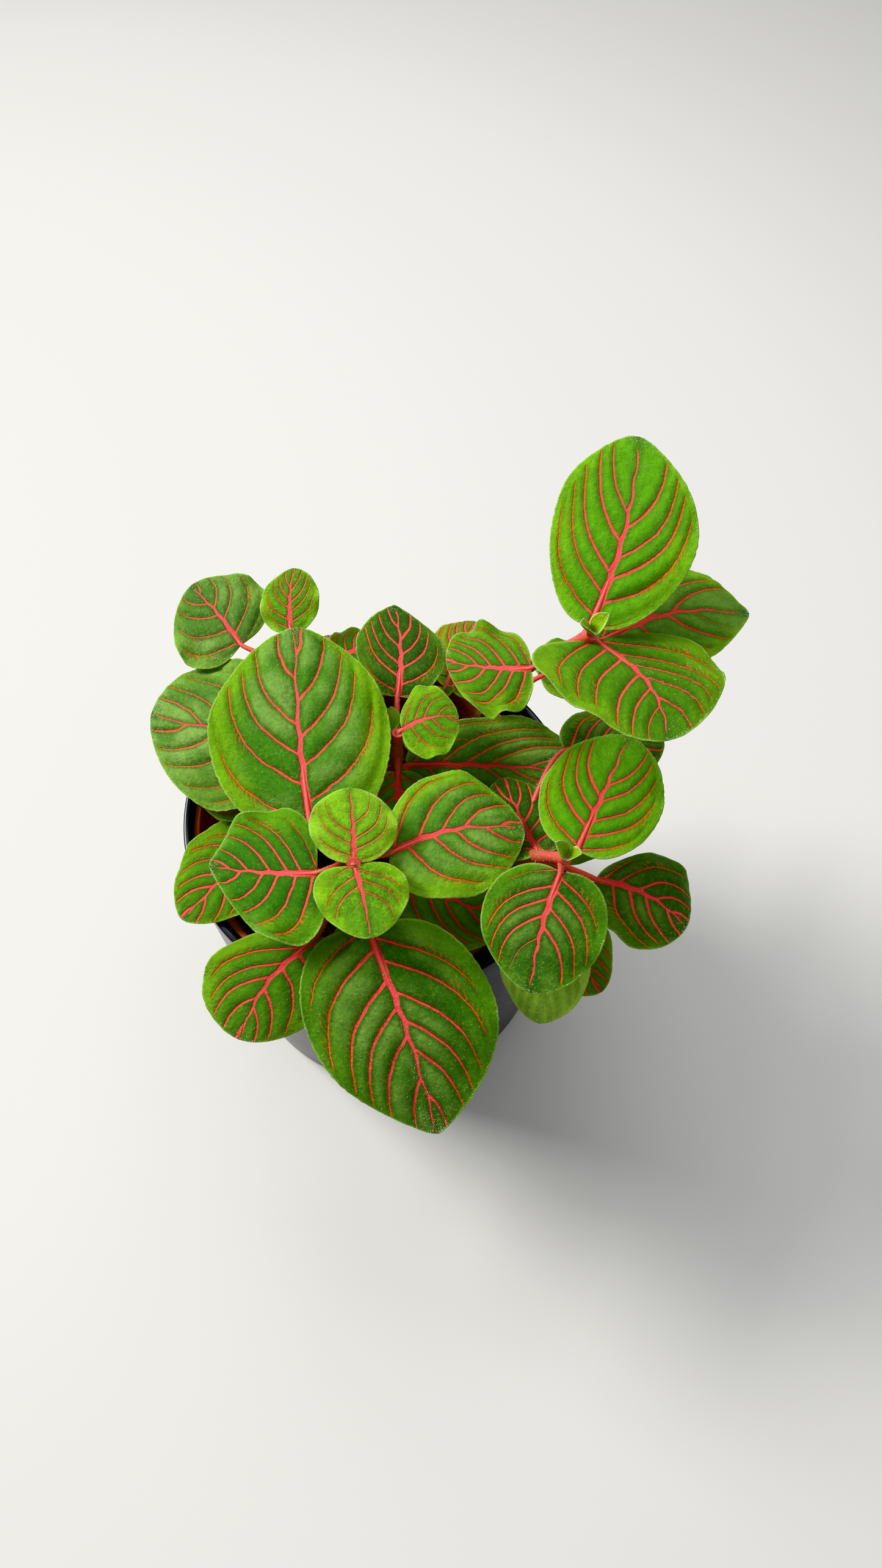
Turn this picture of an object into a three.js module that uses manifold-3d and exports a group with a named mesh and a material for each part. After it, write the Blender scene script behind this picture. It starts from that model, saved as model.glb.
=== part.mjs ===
// Potted nerve plant: leafy stems in a nursery pot that stands in a cover pot.
// Millimetres, +Z up. The origin is the middle of the cover pot's flat base.
// In the photograph's view +X is right and +Y is away from the viewer.

import * as THREE from 'three';
import Module from 'manifold-3d';

const wasm = await Module();
wasm.setup();

const plant = new THREE.Group();

// ---------------------------------------------------------------- finishes

const coverGlaze = new THREE.MeshStandardMaterial({ color: 0x1b1e26, roughness: 0.2, metalness: 0 });
const terracotta = new THREE.MeshStandardMaterial({ color: 0xb9532f, roughness: 0.55, metalness: 0 });
const peat = new THREE.MeshStandardMaterial({ color: 0x2a1b14, roughness: 0.95, metalness: 0 });
const leafGreen = new THREE.MeshStandardMaterial({ color: 0x4a8a2c, roughness: 0.6, metalness: 0 });

// ---------------------------------------------------------------- pots and soil

const coverHeight = 90;
const coverRimRadius = 49;
const coverBaseRadius = 45.5;
const coverWall = 1.8;
const coverFloor = 2.4;
const coverEdge = 1.6;
const rimRounding = 0.28;

const seatGap = 0.3;
const nurseryX = -2;
const nurseryY = -0.4;
const nurseryBottom = coverFloor + seatGap;
const nurseryTop = coverHeight - 2.6;
const nurseryLipRadius = 44.6;
const nurseryNeckRadius = 42.6;
const nurseryBaseRadius = 33;
const nurseryWall = 1.1;
const nurseryCollar = 9;
const nurseryStep = 1;
const nurseryLipHeight = 1;
const nurseryLipOverhang = 0.4;
const drainRadius = 3.2;
const drainRing = 19;
const drainCount = 4;

const soilLevel = 76;
const soilDepthOfHoles = 16;
const holeClearance = 0.3;
const holeSides = 10;
const roundSegments = 48;

/** One closed lathe solid from a profile of [radius, z] pairs. */
function lathe(profile, segments) {
  const points = profile.map(([radius, z]) => new THREE.Vector2(radius, z));
  const geometry = new THREE.LatheGeometry(points, segments);
  geometry.rotateX(Math.PI / 2);
  return geometry;
}

/** A manifold solid from an indexed or plain three.js geometry. */
function toSolid(geometry) {
  const grid = 1e4;
  const position = geometry.getAttribute('position');
  const index = geometry.getIndex();
  const cornerCount = index ? index.count : position.count;
  const seen = new Map();
  const coordinates = [];
  const corners = [];
  for (let c = 0; c < cornerCount; c += 1) {
    const i = index ? index.getX(c) : c;
    const point = [position.getX(i), position.getY(i), position.getZ(i)];
    const key = point.map((value) => Math.round(value * grid)).join(',');
    if (!seen.has(key)) {
      seen.set(key, coordinates.length / 3);
      coordinates.push(...point);
    }
    corners.push(seen.get(key));
  }
  const faces = [];
  for (let c = 0; c < corners.length; c += 3) {
    const [a, b, d] = corners.slice(c, c + 3);
    if (a !== b && b !== d && d !== a) faces.push(a, b, d);
  }
  return new wasm.Manifold(new wasm.Mesh({
    numProp: 3,
    vertProperties: new Float32Array(coordinates),
    triVerts: new Uint32Array(faces),
  }));
}

/** A three.js geometry with flat faces from a manifold solid. */
function toGeometry(solid) {
  const mesh = solid.getMesh();
  const geometry = new THREE.BufferGeometry();
  const coordinates = new Float32Array(mesh.numVert * 3);
  for (let i = 0; i < mesh.numVert; i += 1) {
    for (let k = 0; k < 3; k += 1) coordinates[i * 3 + k] = mesh.vertProperties[i * mesh.numProp + k];
  }
  geometry.setAttribute('position', new THREE.BufferAttribute(coordinates, 3));
  geometry.setIndex(new THREE.BufferAttribute(new Uint32Array(mesh.triVerts), 1));
  geometry.computeVertexNormals();
  return geometry;
}

/** Adds a named mesh to the plant. */
function place(name, geometry, material) {
  const mesh = new THREE.Mesh(geometry, material);
  mesh.name = name;
  plant.add(mesh);
  return mesh;
}

/** A plain upright cylinder solid between two heights. */
function pin(x, y, radius, bottom, top, sides) {
  const geometry = new THREE.CylinderGeometry(radius, radius, top - bottom, sides);
  geometry.rotateX(Math.PI / 2);
  geometry.translate(x, y, (top + bottom) / 2);
  return toSolid(geometry);
}

function makeCoverPot() {
  const innerRim = coverRimRadius - coverWall;
  const innerBase = coverBaseRadius - coverWall;
  const profile = [
    [0, 0],
    [coverBaseRadius - coverEdge, 0],
    [coverBaseRadius, coverEdge],
    [coverRimRadius, coverHeight - coverEdge / 2],
    [coverRimRadius - coverWall * rimRounding, coverHeight],
    [innerRim + coverWall * rimRounding, coverHeight],
    [innerRim, coverHeight - coverEdge / 2],
    [innerBase, coverFloor + coverEdge],
    [innerBase - coverEdge, coverFloor],
    [0, coverFloor],
  ];
  place('cover_pot', lathe(profile, roundSegments), coverGlaze);
}

function makeNurseryPot() {
  const collarBottom = nurseryTop - nurseryCollar;
  const collarTopRadius = nurseryLipRadius - nurseryLipOverhang;
  const collarRadius = collarTopRadius - nurseryLipOverhang;
  const profile = [
    [0, nurseryBottom],
    [nurseryBaseRadius, nurseryBottom],
    [nurseryNeckRadius, collarBottom - nurseryStep],
    [collarRadius, collarBottom],
    [collarTopRadius, nurseryTop - nurseryLipHeight - 0.2],
    [nurseryLipRadius, nurseryTop - nurseryLipHeight],
    [nurseryLipRadius, nurseryTop],
    [collarTopRadius - nurseryWall, nurseryTop],
    [collarRadius - nurseryWall - 0.1, collarBottom + nurseryStep],
    [nurseryNeckRadius - nurseryWall, collarBottom - nurseryStep * 0.6],
    [nurseryBaseRadius - nurseryWall, nurseryBottom + nurseryWall],
    [0, nurseryBottom + nurseryWall],
  ];
  let solid = toSolid(lathe(profile, roundSegments));
  for (let k = 0; k < drainCount; k += 1) {
    const angle = (2 * Math.PI * (k + 0.5)) / drainCount;
    const x = drainRing * Math.cos(angle);
    const y = drainRing * Math.sin(angle);
    const bottom = nurseryBottom - nurseryWall;
    const top = nurseryBottom + 2 * nurseryWall;
    solid = solid.subtract(pin(x, y, drainRadius, bottom, top, holeSides));
  }
  const mesh = place('nursery_pot', toGeometry(solid), terracotta);
  mesh.position.set(nurseryX, nurseryY, 0);
}

// ---------------------------------------------------------------- leaves and stems

const leafThickness = 0.7;
const leafFullness = 0.5;
const leafColumns = [-1, -0.55, 0, 0.55, 1];
const rippleShift = 0.17;
const degree = Math.PI / 180;

/** The blade's half width at u from 0 at the stalk to 1 at the tip, as a share of its greatest. */
function bladeProfile(leaf, u) {
  const round = Math.sin(Math.PI * u ** leaf.waist);
  return Math.max(round, 0) ** leafFullness * (1 - leaf.point * u ** 7);
}

/** Unit vectors along, across and up from a blade, from its heading, pitch and roll in radians. */
function bladeFrame(heading, pitch, roll) {
  const along = new THREE.Vector3(
    Math.cos(pitch) * Math.cos(heading),
    Math.cos(pitch) * Math.sin(heading),
    Math.sin(pitch),
  );
  const level = new THREE.Vector3(-Math.sin(heading), Math.cos(heading), 0);
  const upright = new THREE.Vector3().crossVectors(along, level);
  const across = level.clone().multiplyScalar(Math.cos(roll)).addScaledVector(upright, Math.sin(roll));
  const up = upright.clone().multiplyScalar(Math.cos(roll)).addScaledVector(level, -Math.sin(roll));
  return { along, across, up };
}

/** A point of a blade's top face, or a distance `below` it, with its frame. */
function bladePoint(leaf, base, u, v, below) {
  const heading = (leaf.bearing + leaf.turn) * degree;
  const pitch = leaf.pitch * degree;
  const bend = (leaf.bend || 0.01) * degree;
  const pitchHere = pitch - bend * u;
  const forward = (leaf.length * (Math.sin(pitch) - Math.sin(pitchHere))) / bend;
  const rise = (leaf.length * (Math.cos(pitchHere) - Math.cos(pitch))) / bend;
  const { along, across, up } = bladeFrame(heading, pitchHere, leaf.roll * degree);
  const share = bladeProfile(leaf, u);
  const curve = leaf.length * leaf.sweep * degree * u * u / 2 + leaf.bow * Math.sin(Math.PI * u);
  const side = v * share * leaf.width / 2 + curve;
  const lobe = -leaf.lobe * leaf.length * share * (1 - u) ** 4 * v * v;
  const ripple = Math.sin(2 * Math.PI * (leaf.waves * u + Math.sign(v) * rippleShift) + leaf.phase);
  const lift = leaf.cup * v * v * share + leaf.wave * Math.abs(v) ** 3 * ripple * Math.sin(Math.PI * u);
  const spot = base.clone();
  spot.x += Math.cos(heading) * forward;
  spot.y += Math.sin(heading) * forward;
  spot.z += rise;
  spot.addScaledVector(across, side).addScaledVector(along, lobe).addScaledVector(up, lift - below);
  return spot;
}

/** The closed blade of a leaf: two faces alike, a thickness apart, joined round the margin. */
function blade(leaf, base) {
  const stations = 6 + 2 * Math.min(Math.floor(leaf.length / 15), 2);
  const rows = [];
  const coordinates = [];
  const put = (u, v, below) => {
    coordinates.push(...bladePoint(leaf, base, u, v, below).toArray());
    return coordinates.length / 3 - 1;
  };
  for (let i = 0; i <= stations; i += 1) {
    const u = (1 - Math.cos((Math.PI * i) / stations)) / 2;
    const single = i === 0 || i === stations;
    const across = single ? [0] : leafColumns;
    rows.push(across.map((v) => ({ top: put(u, v, 0), bottom: put(u, v, leafThickness) })));
  }
  const faces = [];
  const both = (a, b, c) => faces.push(a.top, b.top, c.top, a.bottom, c.bottom, b.bottom);
  const wall = (a, b) => faces.push(a.top, a.bottom, b.bottom, a.top, b.bottom, b.top);
  const last = leafColumns.length - 1;
  for (let i = 0; i < stations; i += 1) {
    const near = rows[i];
    const far = rows[i + 1];
    const at = (row, j) => (row.length === 1 ? row[0] : row[j]);
    for (let j = 0; j < last; j += 1) {
      if (near.length > 1) both(near[j], far.length > 1 ? far[j] : far[0], near[j + 1]);
      if (far.length > 1) both(near.length > 1 ? near[j + 1] : near[0], far[j], far[j + 1]);
    }
    wall(at(near, 0), at(far, 0));
    wall(at(far, last), at(near, last));
  }
  const geometry = new THREE.BufferGeometry();
  geometry.setAttribute('position', new THREE.Float32BufferAttribute(coordinates, 3));
  geometry.setIndex(faces);
  return toSolid(geometry);
}

/** A closed round tube along a list of { at, radius }. */
function tube(stations, sides) {
  const coordinates = [];
  const faces = [];
  const count = stations.length;
  const sideways = new THREE.Vector3(0.31, 0.95, 0.02).normalize();
  stations.forEach(({ at, radius }, i) => {
    const before = stations[Math.max(i - 1, 0)].at;
    const after = stations[Math.min(i + 1, count - 1)].at;
    const along = after.clone().sub(before).normalize();
    const first = new THREE.Vector3().crossVectors(along, sideways).normalize();
    const second = new THREE.Vector3().crossVectors(along, first);
    for (let k = 0; k < sides; k += 1) {
      const angle = (2 * Math.PI * k) / sides;
      const spot = at.clone();
      spot.addScaledVector(first, radius * Math.cos(angle)).addScaledVector(second, radius * Math.sin(angle));
      coordinates.push(...spot.toArray());
    }
  });
  for (let i = 0; i < count - 1; i += 1) {
    for (let k = 0; k < sides; k += 1) {
      const a = i * sides + k;
      const b = i * sides + ((k + 1) % sides);
      faces.push(a, b, b + sides, a, b + sides, a + sides);
    }
  }
  for (let k = 1; k < sides - 1; k += 1) {
    const end = (count - 1) * sides;
    faces.push(0, k + 1, k, end, end + k, end + k + 1);
  }
  const geometry = new THREE.BufferGeometry();
  geometry.setAttribute('position', new THREE.Float32BufferAttribute(coordinates, 3));
  geometry.setIndex(faces);
  return toSolid(geometry);
}

// ---------------------------------------------------------------- the stems and their leaf pairs

// Of a leaf: bearing is the way its stalk leaves the stem, in degrees from +X towards +Y, stalk its length
// and rise its slope. The blade turns from the stalk's bearing, starts at its pitch and bends down by bend
// by its tip. Roll lifts its left side and sweep curves its midrib left all the way; bow, in millimetres,
// sets only its middle to the left. Cup lifts both margins and wave ripples them, in millimetres. A large
// waist puts the widest place near the tip, a small one near the stalk, and point narrows the tip.
const plainLeaf = {
  stalk: 8, rise: 10, turn: 0, pitch: 0, bend: 18, roll: 0, sweep: 0, bow: 0,
  cup: -1, wave: 0.9, waves: 2.5, phase: 0, waist: 0.88, point: 0.1, lobe: 0.12,
};

function leaf(bearing, length, width, details) {
  return { ...plainLeaf, bearing, length, width, ...details };
}

/** The pair of small folded leaves at a stem's end. */
function bud(bearing, size) {
  const details = { stalk: 0.6, rise: 70, pitch: 66, bend: 14, cup: 0.8, wave: 0, lobe: 0, point: 0.5 };
  return [
    leaf(bearing, size, size * 0.72, details),
    leaf(bearing + 180, size * 0.94, size * 0.68, details),
  ];
}

const stems = [
  {
    name: 'centre_stem', foot: [-4, -12], top: [-3.5, -29, 120], radius: 2.1,
    pairs: [
      { height: 119.5, leaves: [
        leaf(91.5, 16.7, 19.5, {
          stalk: 0.5, rise: 40, turn: -1, pitch: 22, sweep: 8, cup: -1.6, waist: 1.0, point: 0, phase: 1,
        }),
        leaf(-81, 16.8, 20.5, {
          stalk: 0.5, rise: 20, pitch: 5, sweep: 9, bow: 0.7, cup: -1.6, waist: 0.65, phase: 2,
        }),
      ] },
      { height: 114, leaves: [
        leaf(-152.5, 24, 33.5, {
          stalk: 9.5, rise: 14, turn: -18, sweep: -35, bow: -0.8, waist: 0.67, point: 0.6, wave: 2.2,
          waves: 2, phase: 0.6,
        }),
        leaf(5, 31.5, 32, {
          stalk: 7.8, rise: 14, turn: 4.5, pitch: 3, sweep: 9.5, bow: 3.1, cup: -2, waist: 0.98,
          point: 0.3, phase: 3,
        }),
      ] },
      { height: 107, leaves: [
        leaf(152.5, 51.5, 43, {
          stalk: 12.5, rise: 14, turn: -57, pitch: 17, bend: 16, sweep: 2, bow: 1.1, cup: -2,
          waist: 0.93, point: 0.24, phase: 4,
        }),
        leaf(-80.5, 46.5, 41.5, {
          stalk: 19.5, rise: 8, turn: 3.5, pitch: -11, bend: 24, sweep: 14.5, bow: 2.2, cup: -2,
          waist: 0.81, point: 0.55, phase: 5,
        }),
      ] },
      { height: 97, leaves: [
        leaf(-111, 27.5, 30, {
          stalk: 24.5, rise: 12, turn: 1.5, pitch: -9, bend: 22, sweep: -39.5, bow: -5, cup: -2,
          waist: 0.94, point: 0, phase: 2,
        }),
        leaf(-44, 29, 26, { stalk: 12, rise: 20, turn: 28, pitch: -6, phase: 1 }),
      ] },
      { height: 90, leaves: [
        leaf(-80, 27, 24, { stalk: 20, rise: 25, pitch: -6, bend: 30, phase: 1 }),
      ] },
    ],
  },
  {
    name: 'left_stem', foot: [-22, -4], top: [-27, -12, 95], radius: 1.6,
    pairs: [
      { height: 95, leaves: bud(150, 3.6) },
      { height: 91.5, leaves: [
        leaf(-120, 27.5, 28, {
          stalk: 2, rise: 20, turn: -6, pitch: 10, bend: 24, sweep: -19, bow: -2, waist: 0.5,
          point: 0.17, phase: 2,
        }),
        leaf(45, 15, 13, { stalk: 4, rise: 6, pitch: -4, phase: 4 }),
      ] },
      { height: 88, leaves: [
        leaf(139, 21, 18, { stalk: 10, rise: 48, pitch: 7, bend: 26, phase: 5 }),
      ] },
    ],
  },
  {
    name: 'right_stem', foot: [27, -14], top: [42.5, -28, 121], radius: 1.9,
    pairs: [
      { height: 121, leaves: bud(155, 5.5) },
      { height: 119.5, leaves: [
        leaf(21, 31, 27, {
          stalk: 3.8, rise: 22, turn: 46.5, pitch: 8, bend: 12, sweep: -5.5, bow: -0.4, cup: -1.5,
          waist: 0.93, point: 0, phase: 1,
        }),
        leaf(-95, 27, 27.5, {
          stalk: 3, rise: -15, turn: -13, pitch: -12, sweep: 3, bow: -0.8, cup: -1.5, waist: 0.83,
          point: 0.14, phase: 5,
        }),
      ] },
      { height: 113, leaves: [
        leaf(106, 28, 20, { stalk: 2, rise: -40, pitch: -30, bend: -16, phase: 3 }),
      ] },
      { height: 110.5, leaves: [
        leaf(-23, 23.5, 24, {
          stalk: 14.6, rise: 0, turn: -8.5, pitch: -4, bend: 26, sweep: 16, bow: 2.8, cup: -2,
          waist: 1.2, point: 0, phase: 2,
        }),
      ] },
      { height: 91, leaves: [
        leaf(28, 25, 21, { stalk: 11, rise: 18, pitch: -1, bend: 28, phase: 2 }),
        leaf(-52, 25, 21, { stalk: 15, rise: 4, pitch: 4, bend: 30, phase: 3 }),
      ] },
      { height: 100, leaves: [
        leaf(62.5, 26, 22, { stalk: 30, rise: 11.5, turn: -49.5, pitch: 0, phase: 4 }),
      ] },
      { height: 105, leaves: [
        leaf(-70, 25.5, 20.5, {
          stalk: 15, rise: 0, turn: -29.5, pitch: -22, bend: 24, sweep: 10, bow: 0.9, waist: 0.9,
          point: 0.17, phase: 0,
        }),
      ] },
    ],
  },
  {
    name: 'tall_stem', foot: [23.5, 25.5], top: [47.5, 13, 146], radius: 1.8,
    pairs: [
      { height: 146, leaves: bud(20, 6) },
      { height: 144, leaves: [
        leaf(60, 42.5, 32, {
          stalk: 3, rise: 32, turn: 10, pitch: 32, bend: 14, sweep: 7, bow: -1.4, waist: 1.08,
          point: 0.3, phase: 2,
        }),
        leaf(-8, 29.5, 39, {
          stalk: 2.4, rise: -6, turn: -64.5, pitch: 13, bend: 14, roll: -10, sweep: 17, bow: 5,
          waist: 0.6, point: 0.06, phase: 4,
        }),
      ] },
      { height: 135, leaves: [
        leaf(12.5, 36.5, 30, {
          stalk: 9.3, rise: 5, turn: -9, pitch: 5, sweep: 23.5, bow: 5, waist: 0.83, point: 0.57,
          phase: 0,
        }),
        leaf(-149, 19.5, 25, {
          stalk: 7, rise: -10, turn: -27, pitch: -6, bend: 24, sweep: -42, bow: -0.5, waist: 0.92,
          point: 0, wave: 2.2, phase: 1,
        }),
      ] },
      { height: 114, leaves: [
        leaf(130, 12, 12, { stalk: 5, rise: -10, pitch: -12, phase: 5 }),
      ] },
      { height: 92, leaves: [
        leaf(-106, 16, 13, { stalk: 2.5, rise: 0, pitch: -12, phase: 3 }),
        leaf(34, 25, 21, { stalk: 20, rise: 12, turn: -12, pitch: -2, bend: 32, phase: 1 }),
      ] },
    ],
  },
  {
    name: 'middle_stem', foot: [4, 6], top: [5, 9.5, 111], radius: 1.9,
    pairs: [
      { height: 110.5, leaves: [
        leaf(35, 14, 20.5, {
          stalk: 1.6, rise: 40, turn: -26, pitch: 18, bend: 14, bow: 1.3, cup: -1.5, waist: 0.98,
          point: 0, phase: 1,
        }),
        leaf(150, 14, 15, { stalk: 1.5, rise: -10, pitch: -20, phase: 3 }),
      ] },
      { height: 104, leaves: [
        leaf(90.5, 25, 23, {
          stalk: 15.5, rise: 4, turn: -9, pitch: 16, bend: 14, sweep: 22, waist: 1.05, point: 0.63,
          phase: 5,
        }),
        leaf(-88, 20, 18, { stalk: 5, rise: -20, pitch: -14, phase: 2 }),
      ] },
      { height: 95, leaves: [
        leaf(40, 46, 27, {
          stalk: 3.5, rise: 14, turn: -42, pitch: 8, bend: 20, cup: 2, waist: 1.1, point: 0.3, phase: 3,
        }),
        leaf(157.5, 42, 43.5, {
          stalk: 24, rise: 18, turn: 20.5, pitch: 3, sweep: -14, bow: 1.6, cup: -2, waist: 0.97,
          point: 0, phase: 1,
        }),
      ] },
    ],
  },
  {
    name: 'back_left_stem', foot: [-6, 22], top: [-23.5, 42.5, 106], radius: 1.7,
    pairs: [
      { height: 105, leaves: [
        leaf(114, 17, 15.3, {
          stalk: 2, rise: 30, turn: -17, pitch: 24, bend: 14, sweep: -15, waist: 0.93, point: 0.05,
          phase: 1,
        }),
        leaf(-92, 10, 10, { stalk: 1.5, rise: 0, pitch: -4, phase: 3 }),
      ] },
      { height: 100, leaves: [
        leaf(161, 21.5, 30, {
          stalk: 20, rise: 4, turn: -19, pitch: 17, bend: 14, sweep: -21, bow: -1.5, cup: -1.5,
          waist: 0.79, point: 0.14, phase: 5,
        }),
        leaf(30, 15, 16, { stalk: 7, rise: -4, turn: 10, pitch: -6, phase: 2 }),
      ] },
      { height: 93, leaves: [
        leaf(-125, 18, 14, { stalk: 5, rise: -20, pitch: -14, phase: 1 }),
        leaf(44, 21, 19, { stalk: 9, rise: 12, pitch: 2, bend: 24, phase: 4 }),
      ] },
      { height: 88, leaves: [
        leaf(176, 22, 19, { stalk: 16, rise: 30, pitch: 2, bend: 30, phase: 2 }),
        leaf(104, 24, 21, { stalk: 12, rise: 42, pitch: -6, bend: 32, phase: 4 }),
      ] },
    ],
  },
  {
    name: 'back_stem', foot: [10, 25], top: [16, 30, 94], radius: 1.6,
    pairs: [
      { height: 94, leaves: bud(0, 5) },
      { height: 92, leaves: [
        leaf(70, 20, 19, { stalk: 9, rise: 16, pitch: 4, phase: 1 }),
        leaf(-128, 12, 11, { stalk: 2, rise: -10, pitch: -14, phase: 3 }),
      ] },
      { height: 88, leaves: [
        leaf(50, 21, 18, { stalk: 10, rise: 36, pitch: 4, bend: 30, phase: 5 }),
      ] },
    ],
  },
];

const stemFoot = soilLevel - soilDepthOfHoles;
const stemSides = 7;
const stalkSides = 5;
const stalkLeast = 0.45;
const stalkGrowth = 0.013;
const leanPower = 1.7;
const leanStart = soilLevel + 3;
const stemTaper = 0.42;
const stemSwelling = 0.3;
const stemStations = 6;
const stalkReach = 0.12;

/** The stem's middle at a height: upright in the soil, then leaning more and more towards its top. */
function stemPoint(stem, height) {
  const share = Math.max(height - leanStart, 0) / (stem.top[2] - leanStart);
  const lean = share ** leanPower;
  const x = stem.foot[0] + (stem.top[0] - stem.foot[0]) * lean;
  const y = stem.foot[1] + (stem.top[1] - stem.foot[1]) * lean;
  return new THREE.Vector3(x, y, height);
}

function stemRadius(stem, height) {
  const share = Math.max(height - soilLevel, 0) / (stem.top[2] - soilLevel);
  return stem.radius * (1 - stemTaper * share);
}

/** The stem alone, swollen a little at each leaf pair. */
function stemTube(stem) {
  const straight = leanStart + 1;
  const heights = [stemFoot, (stemFoot + straight) / 2, straight];
  for (let k = 1; k <= stemStations; k += 1) {
    heights.push(straight + ((stem.top[2] - straight) * k) / stemStations);
  }
  const stations = heights.map((height) => {
    const nearest = Math.min(...stem.pairs.map((pair) => Math.abs(pair.height - height)));
    const radius = stemRadius(stem, height) + stemSwelling * Math.exp(-(nearest ** 2) / 4);
    return { at: stemPoint(stem, height), radius };
  });
  return tube(stations, stemSides);
}

/** A leaf with its stalk: the stalk runs from inside the stem to well under the blade. */
function leafWithStalk(stem, pair, details) {
  const start = stemPoint(stem, pair.height);
  const bearing = details.bearing * degree;
  const rise = details.rise * degree;
  const way = new THREE.Vector3(
    Math.cos(rise) * Math.cos(bearing),
    Math.cos(rise) * Math.sin(bearing),
    Math.sin(rise),
  );
  const base = start.clone().addScaledVector(way, details.stalk);
  const radius = stalkLeast + stalkGrowth * details.length;
  const under = leafThickness / 2;
  const stations = [
    { at: start, radius: radius * 1.1 },
    { at: start.clone().addScaledVector(way, details.stalk * 0.6), radius },
    { at: bladePoint(details, base, 0.01, 0, under), radius: radius * 0.8 },
    { at: bladePoint(details, base, stalkReach, 0, under), radius: radius * 0.25 },
  ];
  return tube(stations, stalkSides).add(blade(details, base));
}

function makeStem(stem) {
  let solid = stemTube(stem);
  for (const pair of stem.pairs) {
    for (const details of pair.leaves) solid = solid.add(leafWithStalk(stem, pair, details));
  }
  place(stem.name, toGeometry(solid), leafGreen);
}

const soilInset = 0.6;
const soilEdgeDrop = 1.2;
const soilRise = 0.8;
const soilSegments = 32;

/** The soil: a low mound that fills the nursery pot, with a plain hole for each stem. */
function makeSoil() {
  const wallGap = nurseryWall + seatGap;
  const bottom = nurseryBottom + nurseryWall + seatGap;
  const edgeRadius = nurseryNeckRadius - wallGap - 2 * soilInset;
  const profile = [
    [0, bottom],
    [nurseryBaseRadius - wallGap - soilInset, bottom],
    [edgeRadius, soilLevel - soilEdgeDrop],
    [edgeRadius * 0.82, soilLevel],
    [edgeRadius * 0.5, soilLevel + soilRise],
    [0, soilLevel + soilRise / 2],
  ];
  const geometry = lathe(profile, soilSegments);
  geometry.translate(nurseryX, nurseryY, 0);
  let solid = toSolid(geometry);
  for (const stem of stems) {
    const radius = (stem.radius + holeClearance + 0.05) / Math.cos(Math.PI / holeSides);
    const [x, y] = stem.foot;
    solid = solid.subtract(pin(x, y, radius, stemFoot - seatGap, soilLevel + 5, holeSides));
  }
  place('soil', toGeometry(solid), peat);
}

makeCoverPot();
makeNurseryPot();
makeSoil();
stems.forEach(makeStem);

export default plant;
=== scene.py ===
"""Dresses the potted nerve plant: pots, soil, leafy stems, hairs, light and camera.

Sizes in the tables are millimetres and degrees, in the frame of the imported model: the origin is the middle
of the cover pot's base, +Z is up, +X is right and +Y is away from the viewer of the photograph.
"""

from __future__ import annotations

import logging
import math
import sys
from dataclasses import dataclass, field
from enum import Enum
from typing import Any, Iterable, Sequence

import bpy
import numpy as np
from mathutils import Euler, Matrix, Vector

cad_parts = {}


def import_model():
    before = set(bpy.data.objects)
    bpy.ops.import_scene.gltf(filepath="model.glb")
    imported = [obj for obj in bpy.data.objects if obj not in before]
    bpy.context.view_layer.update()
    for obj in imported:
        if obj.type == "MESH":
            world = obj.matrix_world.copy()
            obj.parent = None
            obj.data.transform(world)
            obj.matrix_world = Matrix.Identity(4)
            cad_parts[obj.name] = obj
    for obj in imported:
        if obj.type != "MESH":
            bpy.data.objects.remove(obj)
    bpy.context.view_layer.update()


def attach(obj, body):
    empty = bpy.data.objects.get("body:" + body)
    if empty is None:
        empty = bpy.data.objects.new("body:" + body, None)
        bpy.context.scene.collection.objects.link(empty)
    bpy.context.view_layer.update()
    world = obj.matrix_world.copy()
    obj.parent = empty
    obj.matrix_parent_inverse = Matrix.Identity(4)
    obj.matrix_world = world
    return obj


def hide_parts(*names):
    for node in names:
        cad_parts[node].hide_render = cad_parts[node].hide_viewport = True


MM = 0.001
BODY = "root"
Array = np.ndarray
Colour = tuple[float, float, float, float]
Range = tuple[float, float]
Material = bpy.types.Material
Node = bpy.types.Node
Socket = bpy.types.NodeSocket
log = logging.getLogger("nerve_plant")


class Slot(Enum):
    """The record's material slots."""

    COVER = "cover_glaze"
    NURSERY = "terracotta_plastic"
    SOIL = "potting_soil"
    FOLIAGE = "foliage"


# ---------------------------------------------------------------- meshes


def add_mesh(name: str, points: Array, faces: Sequence[Sequence[int]],
             smooth: bool = True) -> bpy.types.Object:
    """Makes an object from points in millimetres.

    Args:
        name: The object's name.
        points: An array of shape (n, 3), in millimetres.
        faces: Corner numbers of each face, outward side counter-clockwise.
        smooth: Whether the faces are shaded smooth.

    Returns:
        The new object, linked to the scene.
    """
    mesh = bpy.data.meshes.new(name)
    mesh.from_pydata((np.asarray(points) * MM).tolist(), [], [list(map(int, face)) for face in faces])
    mesh.polygons.foreach_set("use_smooth", np.full(len(mesh.polygons), smooth))
    mesh.update()
    obj = bpy.data.objects.new(name, mesh)
    bpy.context.scene.collection.objects.link(obj)
    return obj


def add_values(obj: bpy.types.Object, name: str, values: Array, domain: str = "POINT") -> None:
    """Stores numbers or vectors on a mesh under a name.

    Args:
        obj: The object whose mesh takes them.
        name: The attribute's name.
        values: An array of shape (n,) or (n, 3).
        domain: POINT or CORNER.
    """
    values = np.asarray(values, np.float32)
    kind, key = ("FLOAT", "value") if values.ndim == 1 else ("FLOAT_VECTOR", "vector")
    layer = obj.data.attributes.new(name, kind, domain)
    layer.data.foreach_set(key, values.ravel())


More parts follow.
